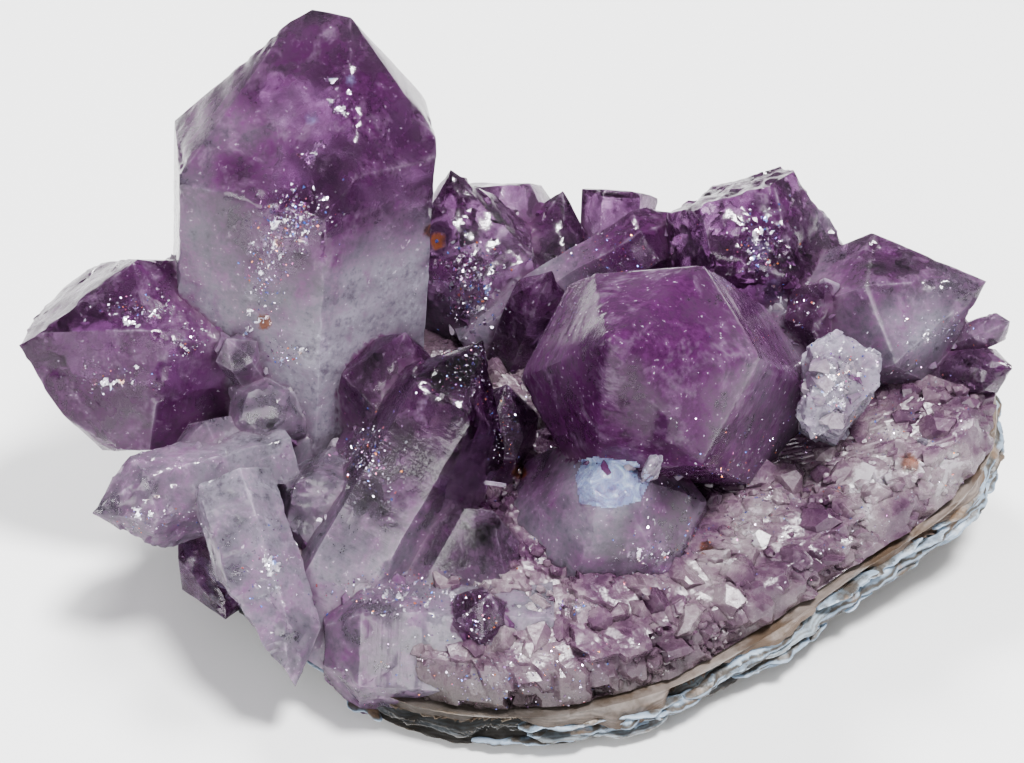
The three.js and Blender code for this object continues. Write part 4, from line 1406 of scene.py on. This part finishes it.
def chalcedony():
    """Shelves along the front and right of the rind, thinner ones between, and a few behind."""
    rows = list(SHELVES)
    for number in range(FRONT_SHELVES + BACK_SHELVES):
        start = CHANCE.uniform(0.0, 0.36) if number < FRONT_SHELVES else CHANCE.uniform(0.4, 0.95)
        rows.append((start, CHANCE.uniform(0.015, 0.06), CHANCE.uniform(0.25, 0.9),
                     CHANCE.uniform(0.15, 0.4), CHANCE.uniform(0.7, 1.3)))
    shelves = [shelf(*row, seed) for seed, row in enumerate(rows)]
    starts = np.cumsum([0] + [len(points) for points, _, _ in shelves[:-1]])
    points = np.concatenate([points for points, _, _ in shelves])
    triangles = np.concatenate([triangles + first for (_, triangles, _), first in zip(shelves, starts)])
    made = solid("chalcedony_shelves", points, triangles)
    made.data.shade_smooth()
    made.data.set_sharp_from_angle(angle=SHELF_CREASE)
    mark(made, "level", np.concatenate([level for _, _, level in shelves]))
    finish = Finish("chalcedony")
    blotch, fine = finish.noise(0.004, detail=5, rough=0.6), finish.noise(0.0007, detail=3)
    lines = ((finish.marked("level") * 9 + blotch * 9).math("SINE") * 0.5 + 0.5) * (0.5 + fine)
    tint = finish.ramp(
        lines.held(), (0, (0.28, 0.34, 0.42)), (0.4, (0.2, 0.25, 0.31)), (0.7, (0.1, 0.11, 0.12)),
        (0.95, (0.07, 0.06, 0.052)))
    tint = finish.blend((blotch.spread(0.58, 0.66) * 0.7).held(), tint, colour(0.22, 0.15, 0.1))
    tint = finish.blend((0.42 - blotch).spread(0, 0.08).held() * 0.7, tint, colour(0.06, 0.055, 0.05))
    made.data.materials.append(finish.shaded(finish.principled(
        Base_Color=tint, Roughness=0.25 + fine * 0.4, Normal=finish.bump(fine + lines, 0.4, 0.0002),
        Subsurface_Weight=0.6, Subsurface_Radius=(0.8, 0.9, 1.0), Subsurface_Scale=0.0004)))
    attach(made, "root")


def camera():
    """The photograph's view: from in front, 36 degrees above the table."""
    data = bpy.data.cameras.new("camera")
    data.lens, data.sensor_width = 100, 36
    data.clip_start, data.clip_end = 0.01, 10
    made = bpy.data.objects.new("camera", data)
    bpy.context.scene.collection.objects.link(made)
    distance = 0.3129
    made.location = Vector(SLOPE_ORIGIN * MM) + Vector(SLOPE_AXES[2]) * distance
    made.rotation_euler = (math.pi / 2 - SLOPE, 0, 0)
    bpy.context.scene.camera = made


def lamp(name, place, aim, size, power, tint=(1, 1, 1)):
    data = bpy.data.lights.new(name, "AREA")
    data.shape, data.size, data.energy, data.color = "DISK", size, power, tint
    made = bpy.data.objects.new(name, data)
    made.location = place
    made.rotation_euler = (Vector(aim) - Vector(place)).to_track_quat("-Z", "Y").to_euler()
    bpy.context.scene.collection.objects.link(made)


LAMP_AIM = (0, 0, 0.02)
FLOOR_HALF = 2


def studio():
    """A plain pale room, four soft lamps and the floor."""
    world = bpy.data.worlds.new("studio")
    world.use_nodes = True
    background = world.node_tree.nodes["Background"]
    background.inputs["Color"].default_value = (0.96, 0.96, 1, 1)
    background.inputs["Strength"].default_value = 0.36
    bpy.context.scene.world = world
    bpy.context.scene.view_settings.look = "AgX - Medium High Contrast"
    lamp("key", (0.18, -0.1, 0.56), LAMP_AIM, 0.16, 6.3)
    lamp("back", (-0.125, 0.344, 0.457), LAMP_AIM, 0.16, 3.6)
    lamp("fill", (-0.08, -0.45, 0.23), LAMP_AIM, 0.3, 1.4)
    lamp("side", (-0.32, -0.32, 0.23), LAMP_AIM, 0.2, 0.65)
    mesh = bpy.data.meshes.new("floor")
    corners = [(x * FLOOR_HALF, y * FLOOR_HALF, 0) for x, y in ((-1, -1), (1, -1), (1, 1), (-1, 1))]
    mesh.from_pydata(corners, [], [(0, 1, 2, 3)])
    floor = bpy.data.objects.new("floor", mesh)
    bpy.context.scene.collection.objects.link(floor)
    finish = Finish("floor")
    mesh.materials.append(finish.shaded(finish.principled(Base_Color=colour(0.8, 0.8, 0.8), Roughness=0.8)))


amethyst, marks = amethyst_points()
wall = quartz_wall()
cluster("druse", wall_points(), WALL_FINISH)
cluster("crevice_points", crevice_points(amethyst, marks), DRUSE_FINISH)
front = seen_from_front([amethyst])
spangles(seen_from_front([amethyst, wall]), [(amethyst, 120, 0.08), (wall, 700, 0.18)])
veils(front)
fracture(front)
rind()
chalcedony()
camera()
studio()
